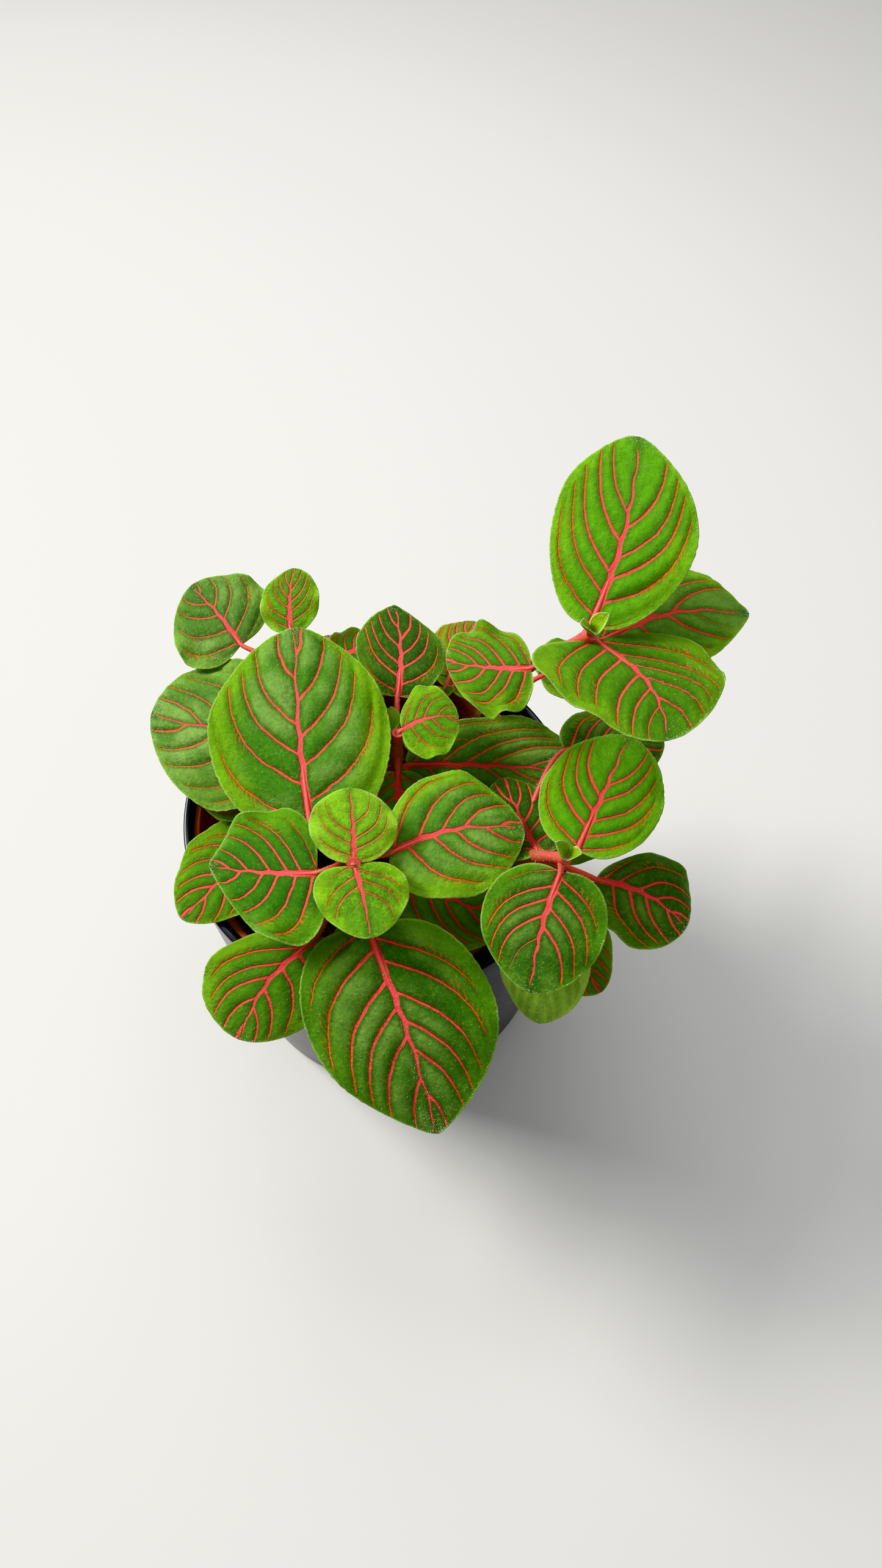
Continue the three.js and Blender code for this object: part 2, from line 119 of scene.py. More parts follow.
def turned_mesh(profile: Sequence[tuple[float, float]], segments: int) -> tuple[Array, list[list[int]]]:
    """Turns a profile about the vertical axis.

    Args:
        profile: Pairs of radius and height from the axis, round the section, back to the axis.
        segments: How many steps go round.

    Returns:
        Points and faces of a closed solid.
    """
    angles = np.arange(segments) * 2 * math.pi / segments
    points: list[tuple[float, float, float]] = []
    rows: list[list[int]] = []
    for radius, height in profile:
        start = len(points)
        if radius < 1e-6:
            points.append((0.0, 0.0, height))
            rows.append([start] * segments)
            continue
        points.extend((radius * math.cos(a), radius * math.sin(a), height) for a in angles)
        rows.append(list(range(start, start + segments)))
    faces: list[list[int]] = []
    for near, far in zip(rows, rows[1:]):
        for k in range(segments):
            n = (k + 1) % segments
            faces.append(list(dict.fromkeys((near[k], near[n], far[n], far[k]))))
    return np.array(points), faces


def band(near: int, far: int, count: int) -> list[list[int]]:
    """The faces between two rings of points, from the number of each ring's first point."""
    return [[near + k, far + k, far + (k + 1) % count, near + (k + 1) % count] for k in range(count)]


def rounded(profile: Sequence[tuple[float, float, float]], steps: int = 5) -> list[tuple[float, float]]:
    """Rounds the corners of a section.

    Args:
        profile: Radius, height and corner size of each point.
        steps: How many points each rounded corner gets.

    Returns:
        Pairs of radius and height.
    """
    result: list[tuple[float, float]] = []
    for k, (radius, height, size) in enumerate(profile):
        if size <= 0 or k in (0, len(profile) - 1):
            result.append((radius, height))
            continue
        here = np.array([radius, height])
        before = np.array(profile[k - 1][:2]) - here
        after = np.array(profile[k + 1][:2]) - here
        start = here + before / np.linalg.norm(before) * min(size, np.linalg.norm(before) * 0.49)
        end = here + after / np.linalg.norm(after) * min(size, np.linalg.norm(after) * 0.49)
        for s in np.linspace(0, 1, steps):
            spot = start * (1 - s) ** 2 + here * 2 * s * (1 - s) + end * s**2
            result.append((float(spot[0]), float(spot[1])))
    return result


def seat(obj: bpy.types.Object, material: Material, slot: Slot, *nodes: str) -> bpy.types.Object:
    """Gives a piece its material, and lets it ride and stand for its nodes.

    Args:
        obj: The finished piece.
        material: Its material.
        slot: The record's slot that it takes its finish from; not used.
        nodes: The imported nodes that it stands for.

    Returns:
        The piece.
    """
    obj.data.materials.clear()
    obj.data.materials.append(material)
    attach(obj, BODY)
    if nodes:
        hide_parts(*nodes)
    faces = sum(len(p.vertices) - 2 for p in obj.data.polygons)
    log.info("%s: %d triangles", obj.name, faces)
    return obj


# ---------------------------------------------------------------- shader helpers


class Board:
    """A node tree with short ways to add and join nodes."""

    def __init__(self, tree: bpy.types.NodeTree) -> None:
        """Keeps the tree."""
        self.tree = tree

    def add(self, kind: str, **settings: Any) -> Node:
        """Adds a node and sets its properties."""
        node = self.tree.nodes.new(kind)
        for key, value in settings.items():
            setattr(node, key, value)
        return node

    def join(self, source: Any, target: Socket) -> None:
        """Links a socket to another, or sets the target to a plain value."""
        if isinstance(source, Socket):
            self.tree.links.new(source, target)
        else:
            target.default_value = source

    def fill(self, node: Node, values: dict[Any, Any]) -> Node:
        """Links or sets a node's inputs, given by name or number, and returns the node."""
        for key, source in values.items():
            self.join(source, node.inputs[key])
        return node

    def math(self, operation: str, *sources: Any) -> Socket:
        """Adds a math node and returns its result."""
        node = self.add("ShaderNodeMath", operation=operation)
        return self.fill(node, dict(enumerate(sources))).outputs[0]

    def times(self, first: Any, second: Any) -> Socket:
        """The product of two values."""
        return self.math("MULTIPLY", first, second)

    def less(self, first: Any, second: Any) -> Socket:
        """The first value less the second."""
        return self.math("SUBTRACT", first, second)

    def linear(self, value: Any, factor: Any, offset: Any) -> Socket:
        """A value times a factor, plus an offset."""
        return self.math("MULTIPLY_ADD", value, factor, offset)

    def step(self, value: Any, low: Any, high: Any, start: float = 0.0, end: float = 1.0) -> Socket:
        """A smooth change from start to end as value goes from low to high."""
        node = self.add("ShaderNodeMapRange", interpolation_type="SMOOTHSTEP")
        ends = {"Value": value, "From Min": low, "From Max": high, "To Min": start, "To Max": end}
        return self.fill(node, ends).outputs[0]

    def mix(self, share: Any, first: Any, second: Any) -> Socket:
        """Mixes two colours."""
        node = self.add("ShaderNodeMix", data_type="RGBA")
        return self.fill(node, {0: share, 6: first, 7: second}).outputs[2]

    def noise(self, vector: Any, scale: Any, detail: float = 3.0, rough: float = 0.55) -> Socket:
        """A noise value from 0 to 1 at a place."""
        values = {"Vector": vector, "Scale": scale, "Detail": detail, "Roughness": rough}
        return self.fill(self.add("ShaderNodeTexNoise"), values).outputs["Fac"]

    def cells(self, vector: Any, scale: Any, **settings: Any) -> Node:
        """A cell pattern at a place."""
        node = self.add("ShaderNodeTexVoronoi", **settings)
        return self.fill(node, {"Vector": vector, "Scale": scale})

    def named(self, name: str, output: str = "Fac") -> Socket:
        """A value, or with output Vector or Color all its parts, that the mesh carries under a name."""
        return self.add("ShaderNodeAttribute", attribute_name=name).outputs[output]

    def split(self, vector: Any) -> tuple[Socket, ...]:
        """The three parts of a vector."""
        return tuple(self.fill(self.add("ShaderNodeSeparateXYZ"), {0: vector}).outputs)

    def gather(self, *parts: Any) -> Socket:
        """The vector of three parts."""
        return self.fill(self.add("ShaderNodeCombineXYZ"), dict(enumerate(parts))).outputs[0]

    def place(self) -> Socket:
        """The place on the object, in metres."""
        return self.add("ShaderNodeTexCoord").outputs["Object"]

    def bump(self, height: Any, strength: float, depth: float) -> Socket:
        """A bump of a depth in metres from a height value."""
        values = {"Strength": strength, "Distance": depth, "Height": height}
        return self.fill(self.add("ShaderNodeBump"), values).outputs[0]


def colour(red: float, green: float, blue: float) -> Colour:
    """A linear colour with alpha from display values of 0 to 255."""
    parts = [c / 255 for c in (red, green, blue)]
    linear = [c / 12.92 if c <= 0.04045 else ((c + 0.055) / 1.055) ** 2.4 for c in parts]
    return (*linear, 1.0)


def new_group(name: str, inputs: Iterable[tuple[str, str]],
              outputs: Iterable[tuple[str, str]]) -> tuple[Board, Any, Any]:
    """Starts a shader node group.

    Args:
        name: The group's name.
        inputs: Names and kinds (Float, Vector or Color) of its inputs.
        outputs: Names and kinds of its outputs.

    Returns:
        Its board, its input node and its output node.
    """
    tree = bpy.data.node_groups.new(name, "ShaderNodeTree")
    for way, sockets in (("INPUT", inputs), ("OUTPUT", outputs)):
        for title, kind in sockets:
            tree.interface.new_socket(title, in_out=way, socket_type=f"NodeSocket{kind}")
    board = Board(tree)
    return board, board.add("NodeGroupInput"), board.add("NodeGroupOutput")


@dataclass(frozen=True)
class Mottle:
    """A soft two-size mottling from 0 to 1, for leaves, stems, pots and soil."""

    coarse_share: float = 0.6
    fine_share: float = 0.4
    fine_factor: float = 4.3

    def make(self) -> bpy.types.NodeTree:
        """Builds the shared group."""
        inputs = [("Vector", "Vector"), ("Scale", "Float"), ("Contrast", "Float")]
        board, start, end = new_group("soft_mottle", inputs, [("Value", "Float")])
        vector, scale, contrast = start.outputs[:3]
        coarse = board.noise(vector, scale, 2.0)
        fine = board.noise(vector, board.times(scale, self.fine_factor), 3.0)
        both = board.linear(fine, self.fine_share, board.times(coarse, self.coarse_share))
        board.join(board.linear(board.less(both, 0.5), contrast, 0.5), end.inputs[0])
        return board.tree


@dataclass(frozen=True)
class Dust:
    """Small scattered specks of dust: 1 on a speck, 0 between."""

    speck_middle: float = 0.05
    speck_edge: float = 0.16

    def make(self) -> bpy.types.NodeTree:
        """Builds the shared group."""
        inputs = [("Vector", "Vector"), ("Scale", "Float"), ("Amount", "Float")]
        board, start, end = new_group("dust_specks", inputs, [("Mask", "Float")])
        vector, scale, amount = start.outputs[:3]
        cells = board.cells(vector, scale)
        spot = board.step(cells.outputs["Distance"], self.speck_middle, self.speck_edge, 1.0, 0.0)
        chance = board.split(cells.outputs["Color"])[0]
        chosen = board.math("LESS_THAN", chance, amount)
        board.join(board.times(spot, chosen), end.inputs[0])
        return board.tree


@dataclass(frozen=True)
class VeinPattern:
    """Vein masks of a blade. Distances are millimetres, shares run from 0 to 1."""

    soft_edge: float = 0.12
    least_width: Range = (0.04, 0.12)
    wander_scale: float = 0.3
    wander: float = 0.16
    ragged_scale: float = 1.6
    ragged_grain: float = 0.65
    ragged_inner: float = 0.16
    ragged_outer: float = 0.5
    rib_half: float = 0.92
    rib_tip_half: float = 0.2
    rib_ragged: float = 0.16
    rib_end: Range = (0.9, 0.955)
    rib_end_ragged: float = 0.06
    spur_rate: float = 0.72
    spur_wander: float = 2.6
    spur_ragged: float = 0.14
    spur_edge: Range = (0.07, 0.17)
    spur_length_scale: float = 0.55
    spur_length: Range = (4.6, -0.9)
    spur_taper: float = 0.5
    shade_reach: float = 1.4
    rib_shade_reach: float = 1.6
    turning_ragged: float = 0.3
    turning: Range = (0.5, 0.8)

    def line(self, board: Board, distance: Any, half: Any) -> Socket:
        """1 on a line of half a width, from the distance to its middle, with a soft edge."""
        low, high = board.less(half, self.soft_edge), board.math("ADD", half, self.soft_edge)
        return board.step(distance, low, high, 1.0, 0.0)

    def spurs(self, board: Board, start: Node, wander: Any, ragged: Any, signed: Any) -> Socket:
        """Short spurs that stand like a comb's teeth on the outer veins' outer side.

        Args:
            board: The group's board.
            start: The group's input node.
            wander: A slow unevenness.
            ragged: A quick unevenness.
            signed: The distance to the nearest vein as a share of the pitch, negative outside it.

        Returns:
            The mask.
        """
        run, pitch, share, along, width, flat = (
            start.outputs[title] for title in ("Run", "Pitch", "Share", "Along", "Width", "Flat")
        )
        tooth = board.linear(wander, self.spur_wander, board.times(run, self.spur_rate))
        tooth = board.math("ABSOLUTE", board.less(tooth, board.math("ROUND", tooth)))
        tooth = board.step(board.linear(ragged, self.spur_ragged, tooth), *self.spur_edge, 1.0, 0.0)
        reach = board.times(board.times(signed, -1.0), pitch)
        length = board.linear(board.noise(flat, self.spur_length_scale, 1.0), *self.spur_length)
        limits = (
            (reach, length, board.less(length, self.spur_taper)), (reach, 0.0, 0.1),
            (share, 0.45, 0.7), (along, 0.62, 0.42), (width, 0.02, 0.1),
        )
        for value, low, high in limits:
            tooth = board.times(tooth, board.step(value, low, high))
        return tooth

    def make(self) -> bpy.types.NodeTree:
        """Builds the shared group, fed by each blade's count of side veins and its distances."""
        numbers = ("Phase", "Pitch", "Width", "Run", "Across", "Share", "Along", "Scale")
        inputs = [*((title, "Float") for title in numbers), ("Flat", "Vector")]
        outputs = [(title, "Float") for title in ("Veins", "Midrib", "Fine", "Ends", "Shade")]
        board, start, end = new_group("blade_veins", inputs, outputs)
        phase, pitch, width, _, across, share, along, scale, flat = start.outputs[:9]
        wander = board.less(board.noise(flat, self.wander_scale, 2.0), 0.5)
        ragged = board.less(board.noise(flat, self.ragged_scale, 3.0, self.ragged_grain), 0.5)
        bent = board.linear(wander, self.wander, phase)
        signed = board.less(bent, board.math("ROUND", bent))
        off = board.times(board.math("ABSOLUTE", signed), pitch)
        present = board.step(width, *self.least_width)
        # the veins' sides get rougher outwards
        rough = board.step(share, 0.3, 0.85, self.ragged_inner, self.ragged_outer)
        veins = board.times(self.line(board, board.linear(ragged, rough, off), width), present)
        # the midrib tapers and stops just short of the tip
        rib = board.times(board.step(along, 0.0, 0.9, self.rib_half, self.rib_tip_half), scale)
        beside = board.math("ABSOLUTE", across)
        midrib = self.line(board, board.linear(ragged, self.rib_ragged, beside), rib)
        ending = board.linear(ragged, self.rib_end_ragged, along)
        midrib = board.times(midrib, board.step(ending, *self.rib_end, 1.0, 0.0))
        # a soft dark line lies beside each vein
        shade = board.step(board.less(off, width), 0.0, self.shade_reach, 1.0, 0.0)
        rib_shade = board.step(board.less(beside, rib), 0.0, self.rib_shade_reach, 1.0, 0.0)
        shade = board.math("MAXIMUM", board.times(shade, present), rib_shade)
        ends = board.step(board.linear(ragged, self.turning_ragged, share), *self.turning)
        fine = self.spurs(board, start, wander, ragged, signed)
        board.fill(end, dict(enumerate((veins, midrib, fine, ends, shade))))
        return board.tree


@dataclass(frozen=True)
class VeinNet:
    """A fine broken net of small veins, in millimetres: 1 on a line."""

    line_edge: Range = (0.02, 0.12)
    gap_scale: float = 0.6
    gap_edge: Range = (0.38, 0.62)

    def make(self) -> bpy.types.NodeTree:
        """Builds the shared group."""
        inputs = [("Flat", "Vector"), ("Size", "Float")]
        board, start, end = new_group("small_vein_net", inputs, [("Mask", "Float")])
        flat, size = start.outputs[:2]
        cells = board.cells(flat, board.math("DIVIDE", 1.0, size), feature="DISTANCE_TO_EDGE")
        line = board.step(cells.outputs["Distance"], *self.line_edge, 1.0, 0.0)
        broken = board.step(board.noise(flat, self.gap_scale, 2.0), *self.gap_edge)
        board.join(board.times(line, broken), end.inputs[0])
        return board.tree


@dataclass(frozen=True)
class Finish:
    """One material of the plant or its pots."""

    name: str

    def start(self) -> tuple[Board, Material, Node]:
        """Makes the material with one shader, and returns its board, itself and the shader."""
        material = bpy.data.materials.new(self.name)
        material.use_nodes = True
        board = Board(material.node_tree)
        shader = material.node_tree.nodes["Principled BSDF"]
        return board, material, shader

    def group(self, board: Board, name: str, **values: Any) -> Node:
        """Puts a shared group into the material and sets its inputs by name."""
        return board.fill(board.add("ShaderNodeGroup", node_tree=bpy.data.node_groups[name]), values)

    def mottle(self, board: Board, place: Any, scale: float, contrast: float) -> Socket:
        """The shared mottling at a place."""
        return self.group(board, "soft_mottle", Vector=place, Scale=scale, Contrast=contrast).outputs[0]

    def dust(self, board: Board, place: Any, scale: float, amount: float) -> Socket:
        """The shared specks of dust at a place."""
        return self.group(board, "dust_specks", Vector=place, Scale=scale, Amount=amount).outputs[0]


@dataclass(frozen=True)
class BladeFinish(Finish):
    """The leaf blades: green, velvety, with coral veins that turn orange and thin towards the margin."""

    vein: Colour = colour(228, 84, 80)
    rib: Colour = colour(226, 82, 84)
    root: Colour = colour(176, 58, 50)
    vein_end: Colour = colour(214, 96, 44)
    under: Colour = colour(112, 146, 78)
    under_vein: Colour = colour(196, 112, 104)
    grain_glint_tone: Colour = colour(134, 176, 44)
    painted_sheen_tone: Colour = colour(134, 168, 88)
    pit_tone: Colour = colour(28, 74, 6)
    net_tone: Colour = colour(150, 190, 48)
    rim_tone: Colour = colour(158, 190, 84)
    shade_tone: Colour = colour(16, 56, 10)
    shade_strength: float = 0.42
    pit_strength: float = 0.4
    uneven_strength: float = 0.2
    rim_strength: float = 0.45
    spur_strength: float = 0.5
    under_strength: float = 0.6
    grain_scale: float = 1.3
    mottle_scale: float = 0.085
    patch_scale: float = 0.07
    uneven_scale: float = 0.45
    relief_scale: float = 0.8
    net_size: float = 1.5
    seed_spread: float = 37.0
    roughness: float = 0.38
    roughness_spread: float = 0.16
    relief_depth: float = 0.0006
    fuzz: float = 0.02
    fuzz_roughness: float = 0.4
    fuzz_tint: Colour = (0.8, 1.0, 0.8, 1.0)
    gloss: float = 0.27
    glow: float = 0.1
    glow_radius: tuple[float, float, float] = (0.4, 1.0, 0.2)
    glow_depth: float = 0.0006

    def lamina(self, board: Board, flat: Any, grain: Any, share: Any, edge: Any, shade: Any, painted_sheen: Any,
               age: Any) -> Any:
        """The green between the veins, from each blade's own two greens.

        Args:
            board: The material's board.
            flat: The place on the flattened blade, in millimetres.
            grain: The blade's fine grain.
            share: The share of the half width.
            edge: The distance to the margin in millimetres.
            shade: Where the veins' sides lie in soft shade.
            painted_sheen: How much painted sheen the blade carries.
            age: The blade's age.

        Returns:
            The colour.
        """
        mottle = self.mottle(board, flat, self.mottle_scale, 3.0)
        outward = board.step(board.linear(mottle, 0.5, board.step(share, 0.35, 1.0)), 0.35, 1.25)
        # painted sheen: pale patches on the raised panels between the veins, fading beside them
        patch = board.step(board.noise(flat, self.patch_scale, 2.0), 0.42, 0.68)
        sheen_cloud = board.times(patch, board.step(share, 1.0, 0.45))
        sheen_cloud = board.times(sheen_cloud, board.step(shade, 0.0, 0.9, 1.0, 0.25))
        # pale specks of the grain: partly the hairs' pale bases, partly painted glints that grow with the
        # painted sheen
        specks = board.times(board.step(grain, 0.5, 0.72), board.linear(painted_sheen, 0.4, 0.2))
        uneven = board.step(board.noise(flat, self.uneven_scale, 3.0, 0.6), 0.62, 0.36)
        net = self.group(board, "small_vein_net", Flat=flat, Size=self.net_size).outputs[0]
        green = board.mix(outward, board.named("blade_middle", "Color"), board.named("blade_margin", "Color"))
        # painted shade lies beside the veins, painted sheen on the raised panels
        layers = (
            (board.times(shade, self.shade_strength), self.shade_tone),
            (board.times(sheen_cloud, painted_sheen), self.painted_sheen_tone),
            (specks, self.grain_glint_tone),
            (board.times(board.step(grain, 0.48, 0.3), self.pit_strength), self.pit_tone),
            (board.times(uneven, self.uneven_strength), self.pit_tone),
            (board.times(net, board.step(age, 0.5, 0.3, 0.08, 0.4)), self.net_tone),
            (board.times(board.step(edge, 0.5, 0.05), self.rim_strength), self.rim_tone),
        )
        for strength, tone in layers:
            green = board.mix(strength, green, tone)
        return green

    def make(self) -> Material:
        """Builds the material."""
        board, material, shader = self.start()
        along, across, edge = board.split(board.named("blade_mm", "Vector"))
        share, tip_share, pitch = board.split(board.named("blade_share", "Vector"))
        age, seed, top = board.split(board.named("blade_look", "Vector"))
        width, run, painted_sheen = board.split(board.named("vein_look", "Vector"))
        flat = board.gather(along, across, board.times(seed, self.seed_spread))
        grain = board.noise(flat, self.grain_scale, 5.0, 0.8)
        grown = board.step(age, 0.1, 0.6, 0.4, 1.0)
        shown = board.step(age, 0.1, 0.3)
        veins = self.group(
            board, "blade_veins", Phase=board.named("vein_phase"), Pitch=pitch, Width=width, Run=run,
            Across=across, Share=share, Along=tip_share, Scale=grown, Flat=flat,
        )
        # coral side veins that turn orange, dimmed on the blades with the most painted sheen
        green = self.lamina(board, flat, grain, share, edge, veins.outputs["Shade"], painted_sheen, age)
        upper = board.mix(board.times(veins.outputs["Fine"], self.spur_strength), green, self.vein_end)
        veil = board.step(painted_sheen, 0.45, 0.8, 1.0, 0.6)
        strength = board.times(board.times(veins.outputs["Veins"], shown), veil)
        upper = board.mix(strength, upper, board.mix(veins.outputs["Ends"], self.vein, self.vein_end))
        # the midrib, redder at the stalk
        rib = board.mix(board.step(tip_share, 0.2, 0.0), self.rib, self.root)
        rib_share = board.times(veins.outputs["Midrib"], shown)
        upper = board.mix(rib_share, upper, rib)
        both = board.math("MAXIMUM", strength, rib_share)
        lower = board.mix(board.times(both, self.under_strength), self.under, self.under_vein)
        board.join(board.mix(top, lower, upper), shader.inputs["Base Color"])
        cloudy = self.mottle(board, flat, 0.2, 2.0)
        least = self.roughness - self.roughness_spread / 2
        board.join(board.linear(cloudy, self.roughness_spread, least), shader.inputs["Roughness"])
        relief = board.linear(grain, 0.7, board.times(both, -0.5))
        relief = board.linear(board.noise(flat, self.relief_scale, 2.0), 0.6, relief)
        board.join(board.bump(relief, 1.0, self.relief_depth), shader.inputs["Normal"])
        shader.inputs["Sheen Weight"].default_value = self.fuzz
        shader.inputs["Sheen Roughness"].default_value = self.fuzz_roughness
        shader.inputs["Sheen Tint"].default_value = self.fuzz_tint
        shader.inputs["Specular IOR Level"].default_value = self.gloss
        shader.inputs["Subsurface Weight"].default_value = self.glow
        shader.inputs["Subsurface Radius"].default_value = self.glow_radius
        shader.inputs["Subsurface Scale"].default_value = self.glow_depth
        return material


@dataclass(frozen=True)
class StalkFinish(Finish):
    """Stems and leaf stalks: pink brown, greener with mottles, redder where they meet the blades."""

    low: Colour = colour(120, 76, 52)
    high: Colour = colour(206, 82, 76)
    green: Colour = colour(116, 132, 46)
    green_strength: float = 0.55
    roughness: float = 0.4
    roughness_spread: float = 0.2
    relief_depth: float = 0.0002
    glow: float = 0.15
    glow_radius: tuple[float, float, float] = (1.0, 0.4, 0.3)
    glow_depth: float = 0.0008

    def make(self) -> Material:
        """Builds the material."""
        board, material, shader = self.start()
        place = board.place()
        mottle = self.mottle(board, place, 260.0, 3.0)
        base = board.mix(board.step(board.named("stalk_share"), 0.0, 0.8), self.low, self.high)
        base = board.mix(board.step(mottle, 0.55, 1.1, 0.0, self.green_strength), base, self.green)
        board.join(base, shader.inputs["Base Color"])
        grain = board.noise(place, 2600.0, 3.0)
        board.join(board.bump(grain, 0.5, self.relief_depth), shader.inputs["Normal"])
        board.join(board.linear(grain, self.roughness_spread, self.roughness), shader.inputs["Roughness"])
        shader.inputs["Subsurface Weight"].default_value = self.glow
        shader.inputs["Subsurface Radius"].default_value = self.glow_radius
        shader.inputs["Subsurface Scale"].default_value = self.glow_depth
        return material


@dataclass(frozen=True)
class HairFinish(Finish):
    """The short pale hairs on margins, blades and stems."""

    pale: Colour = colour(222, 232, 206)
    greenish: Colour = colour(190, 206, 160)
    roughness: float = 0.5

    def make(self) -> Material:
        """Builds the material."""
        board, material, shader = self.start()
        tone = board.noise(board.place(), 320.0, 1.0)
        board.join(board.mix(tone, self.pale, self.greenish), shader.inputs["Base Color"])
        shader.inputs["Roughness"].default_value = self.roughness
        return material


@dataclass(frozen=True)
class GlazeFinish(Finish):
    """The cover pot: a blue-black gloss with a trace of dust."""

    dark: Colour = colour(28, 31, 39)
    worn: Colour = colour(46, 51, 61)
    dusty: Colour = colour(110, 112, 114)
    worn_strength: float = 0.4
    dust_strength: float = 0.3
    dust_roughness: float = 0.3
    roughness: float = 0.2
    smear_roughness: float = 0.16
    relief_depth: float = 0.0004
    gloss: float = 0.26
    coat: float = 0.1
    coat_roughness: float = 0.08

    def make(self) -> Material:
        """Builds the material."""
        board, material, shader = self.start()
        place = board.place()
        mottle = self.mottle(board, place, 55.0, 1.8)
        specks = self.dust(board, place, 420.0, 0.16)
        base = board.mix(board.times(mottle, self.worn_strength), self.dark, self.worn)
        base = board.mix(board.times(specks, self.dust_strength), base, self.dusty)
        board.join(base, shader.inputs["Base Color"])
        smear = board.noise(place, 34.0, 4.0, 0.7)
        rough = board.linear(smear, self.smear_roughness, self.roughness)
        board.join(board.linear(specks, self.dust_roughness, rough), shader.inputs["Roughness"])
        waves = board.noise(place, 90.0, 2.0)
        board.join(board.bump(waves, 0.12, self.relief_depth), shader.inputs["Normal"])
        shader.inputs["Specular IOR Level"].default_value = self.gloss
        shader.inputs["Coat Weight"].default_value = self.coat
        shader.inputs["Coat Roughness"].default_value = self.coat_roughness
        return material


@dataclass(frozen=True)
class TerracottaFinish(Finish):
    """The nursery pot: thin moulded plastic in terracotta orange, scuffed along its lip."""

    body: Colour = colour(198, 84, 44)
    shade: Colour = colour(158, 58, 30)
    scuff: Colour = colour(222, 128, 88)
    crumb: Colour = colour(70, 44, 32)
    scuff_strength: float = 0.35
    crumb_strength: float = 0.5
    roughness: float = 0.36
    roughness_spread: float = 0.16
    relief_depth: float = 0.0001

    def make(self) -> Material:
        """Builds the material."""
        board, material, shader = self.start()
        place = board.place()
        mottle = self.mottle(board, place, 70.0, 2.2)
        specks = self.dust(board, place, 520.0, 0.3)
        scratches = board.step(board.noise(place, 900.0, 2.0), 0.64, 0.74)
        base = board.mix(mottle, self.body, self.shade)
        base = board.mix(board.times(scratches, self.scuff_strength), base, self.scuff)
        base = board.mix(board.times(specks, self.crumb_strength), base, self.crumb)
        board.join(base, shader.inputs["Base Color"])
        board.join(board.linear(mottle, self.roughness_spread, self.roughness), shader.inputs["Roughness"])
        fine = board.noise(place, 1500.0, 2.0)
        board.join(board.bump(fine, 0.2, self.relief_depth), shader.inputs["Normal"])
        return material


@dataclass(frozen=True)
class PeatFinish(Finish):
    """Damp peat: dark brown, with lighter fibres."""

    dark: Colour = colour(34, 22, 16)
    light: Colour = colour(78, 52, 36)
    fibre: Colour = colour(120, 84, 56)
    fibre_strength: float = 0.4
    roughness: float = 0.75
    roughness_spread: float = 0.2
    relief_depth: float = 0.0012

    def make(self) -> Material:
        """Builds the material."""
        board, material, shader = self.start()
        place = board.place()
        mottle = self.mottle(board, place, 190.0, 3.0)
        fibres = board.step(board.noise(place, 1300.0, 3.0, 0.7), 0.6, 0.75)
        base = board.mix(mottle, self.dark, self.light)
        base = board.mix(board.times(fibres, self.fibre_strength), base, self.fibre)
        board.join(base, shader.inputs["Base Color"])
        board.join(board.linear(mottle, self.roughness_spread, self.roughness), shader.inputs["Roughness"])
        clods = board.noise(place, 700.0, 4.0, 0.7)
        board.join(board.bump(clods, 0.8, self.relief_depth), shader.inputs["Normal"])
        return material


@dataclass(frozen=True)
class CrumbFinish(Finish):
    """Loose crumbs on the soil: bark brown, or white for perlite."""

    dark: Colour = colour(44, 28, 20)
    light: Colour = colour(104, 70, 46)
    roughness: float = 0.9
    relief_depth: float = 0.0006

    def make(self) -> Material:
        """Builds the material."""
        board, material, shader = self.start()
        mottle = self.mottle(board, board.place(), 420.0, 3.2)
        board.join(board.mix(mottle, self.dark, self.light), shader.inputs["Base Color"])
        board.join(board.bump(mottle, 0.6, self.relief_depth), shader.inputs["Normal"])
        shader.inputs["Roughness"].default_value = self.roughness
        return material


# ---------------------------------------------------------------- geometry node trees


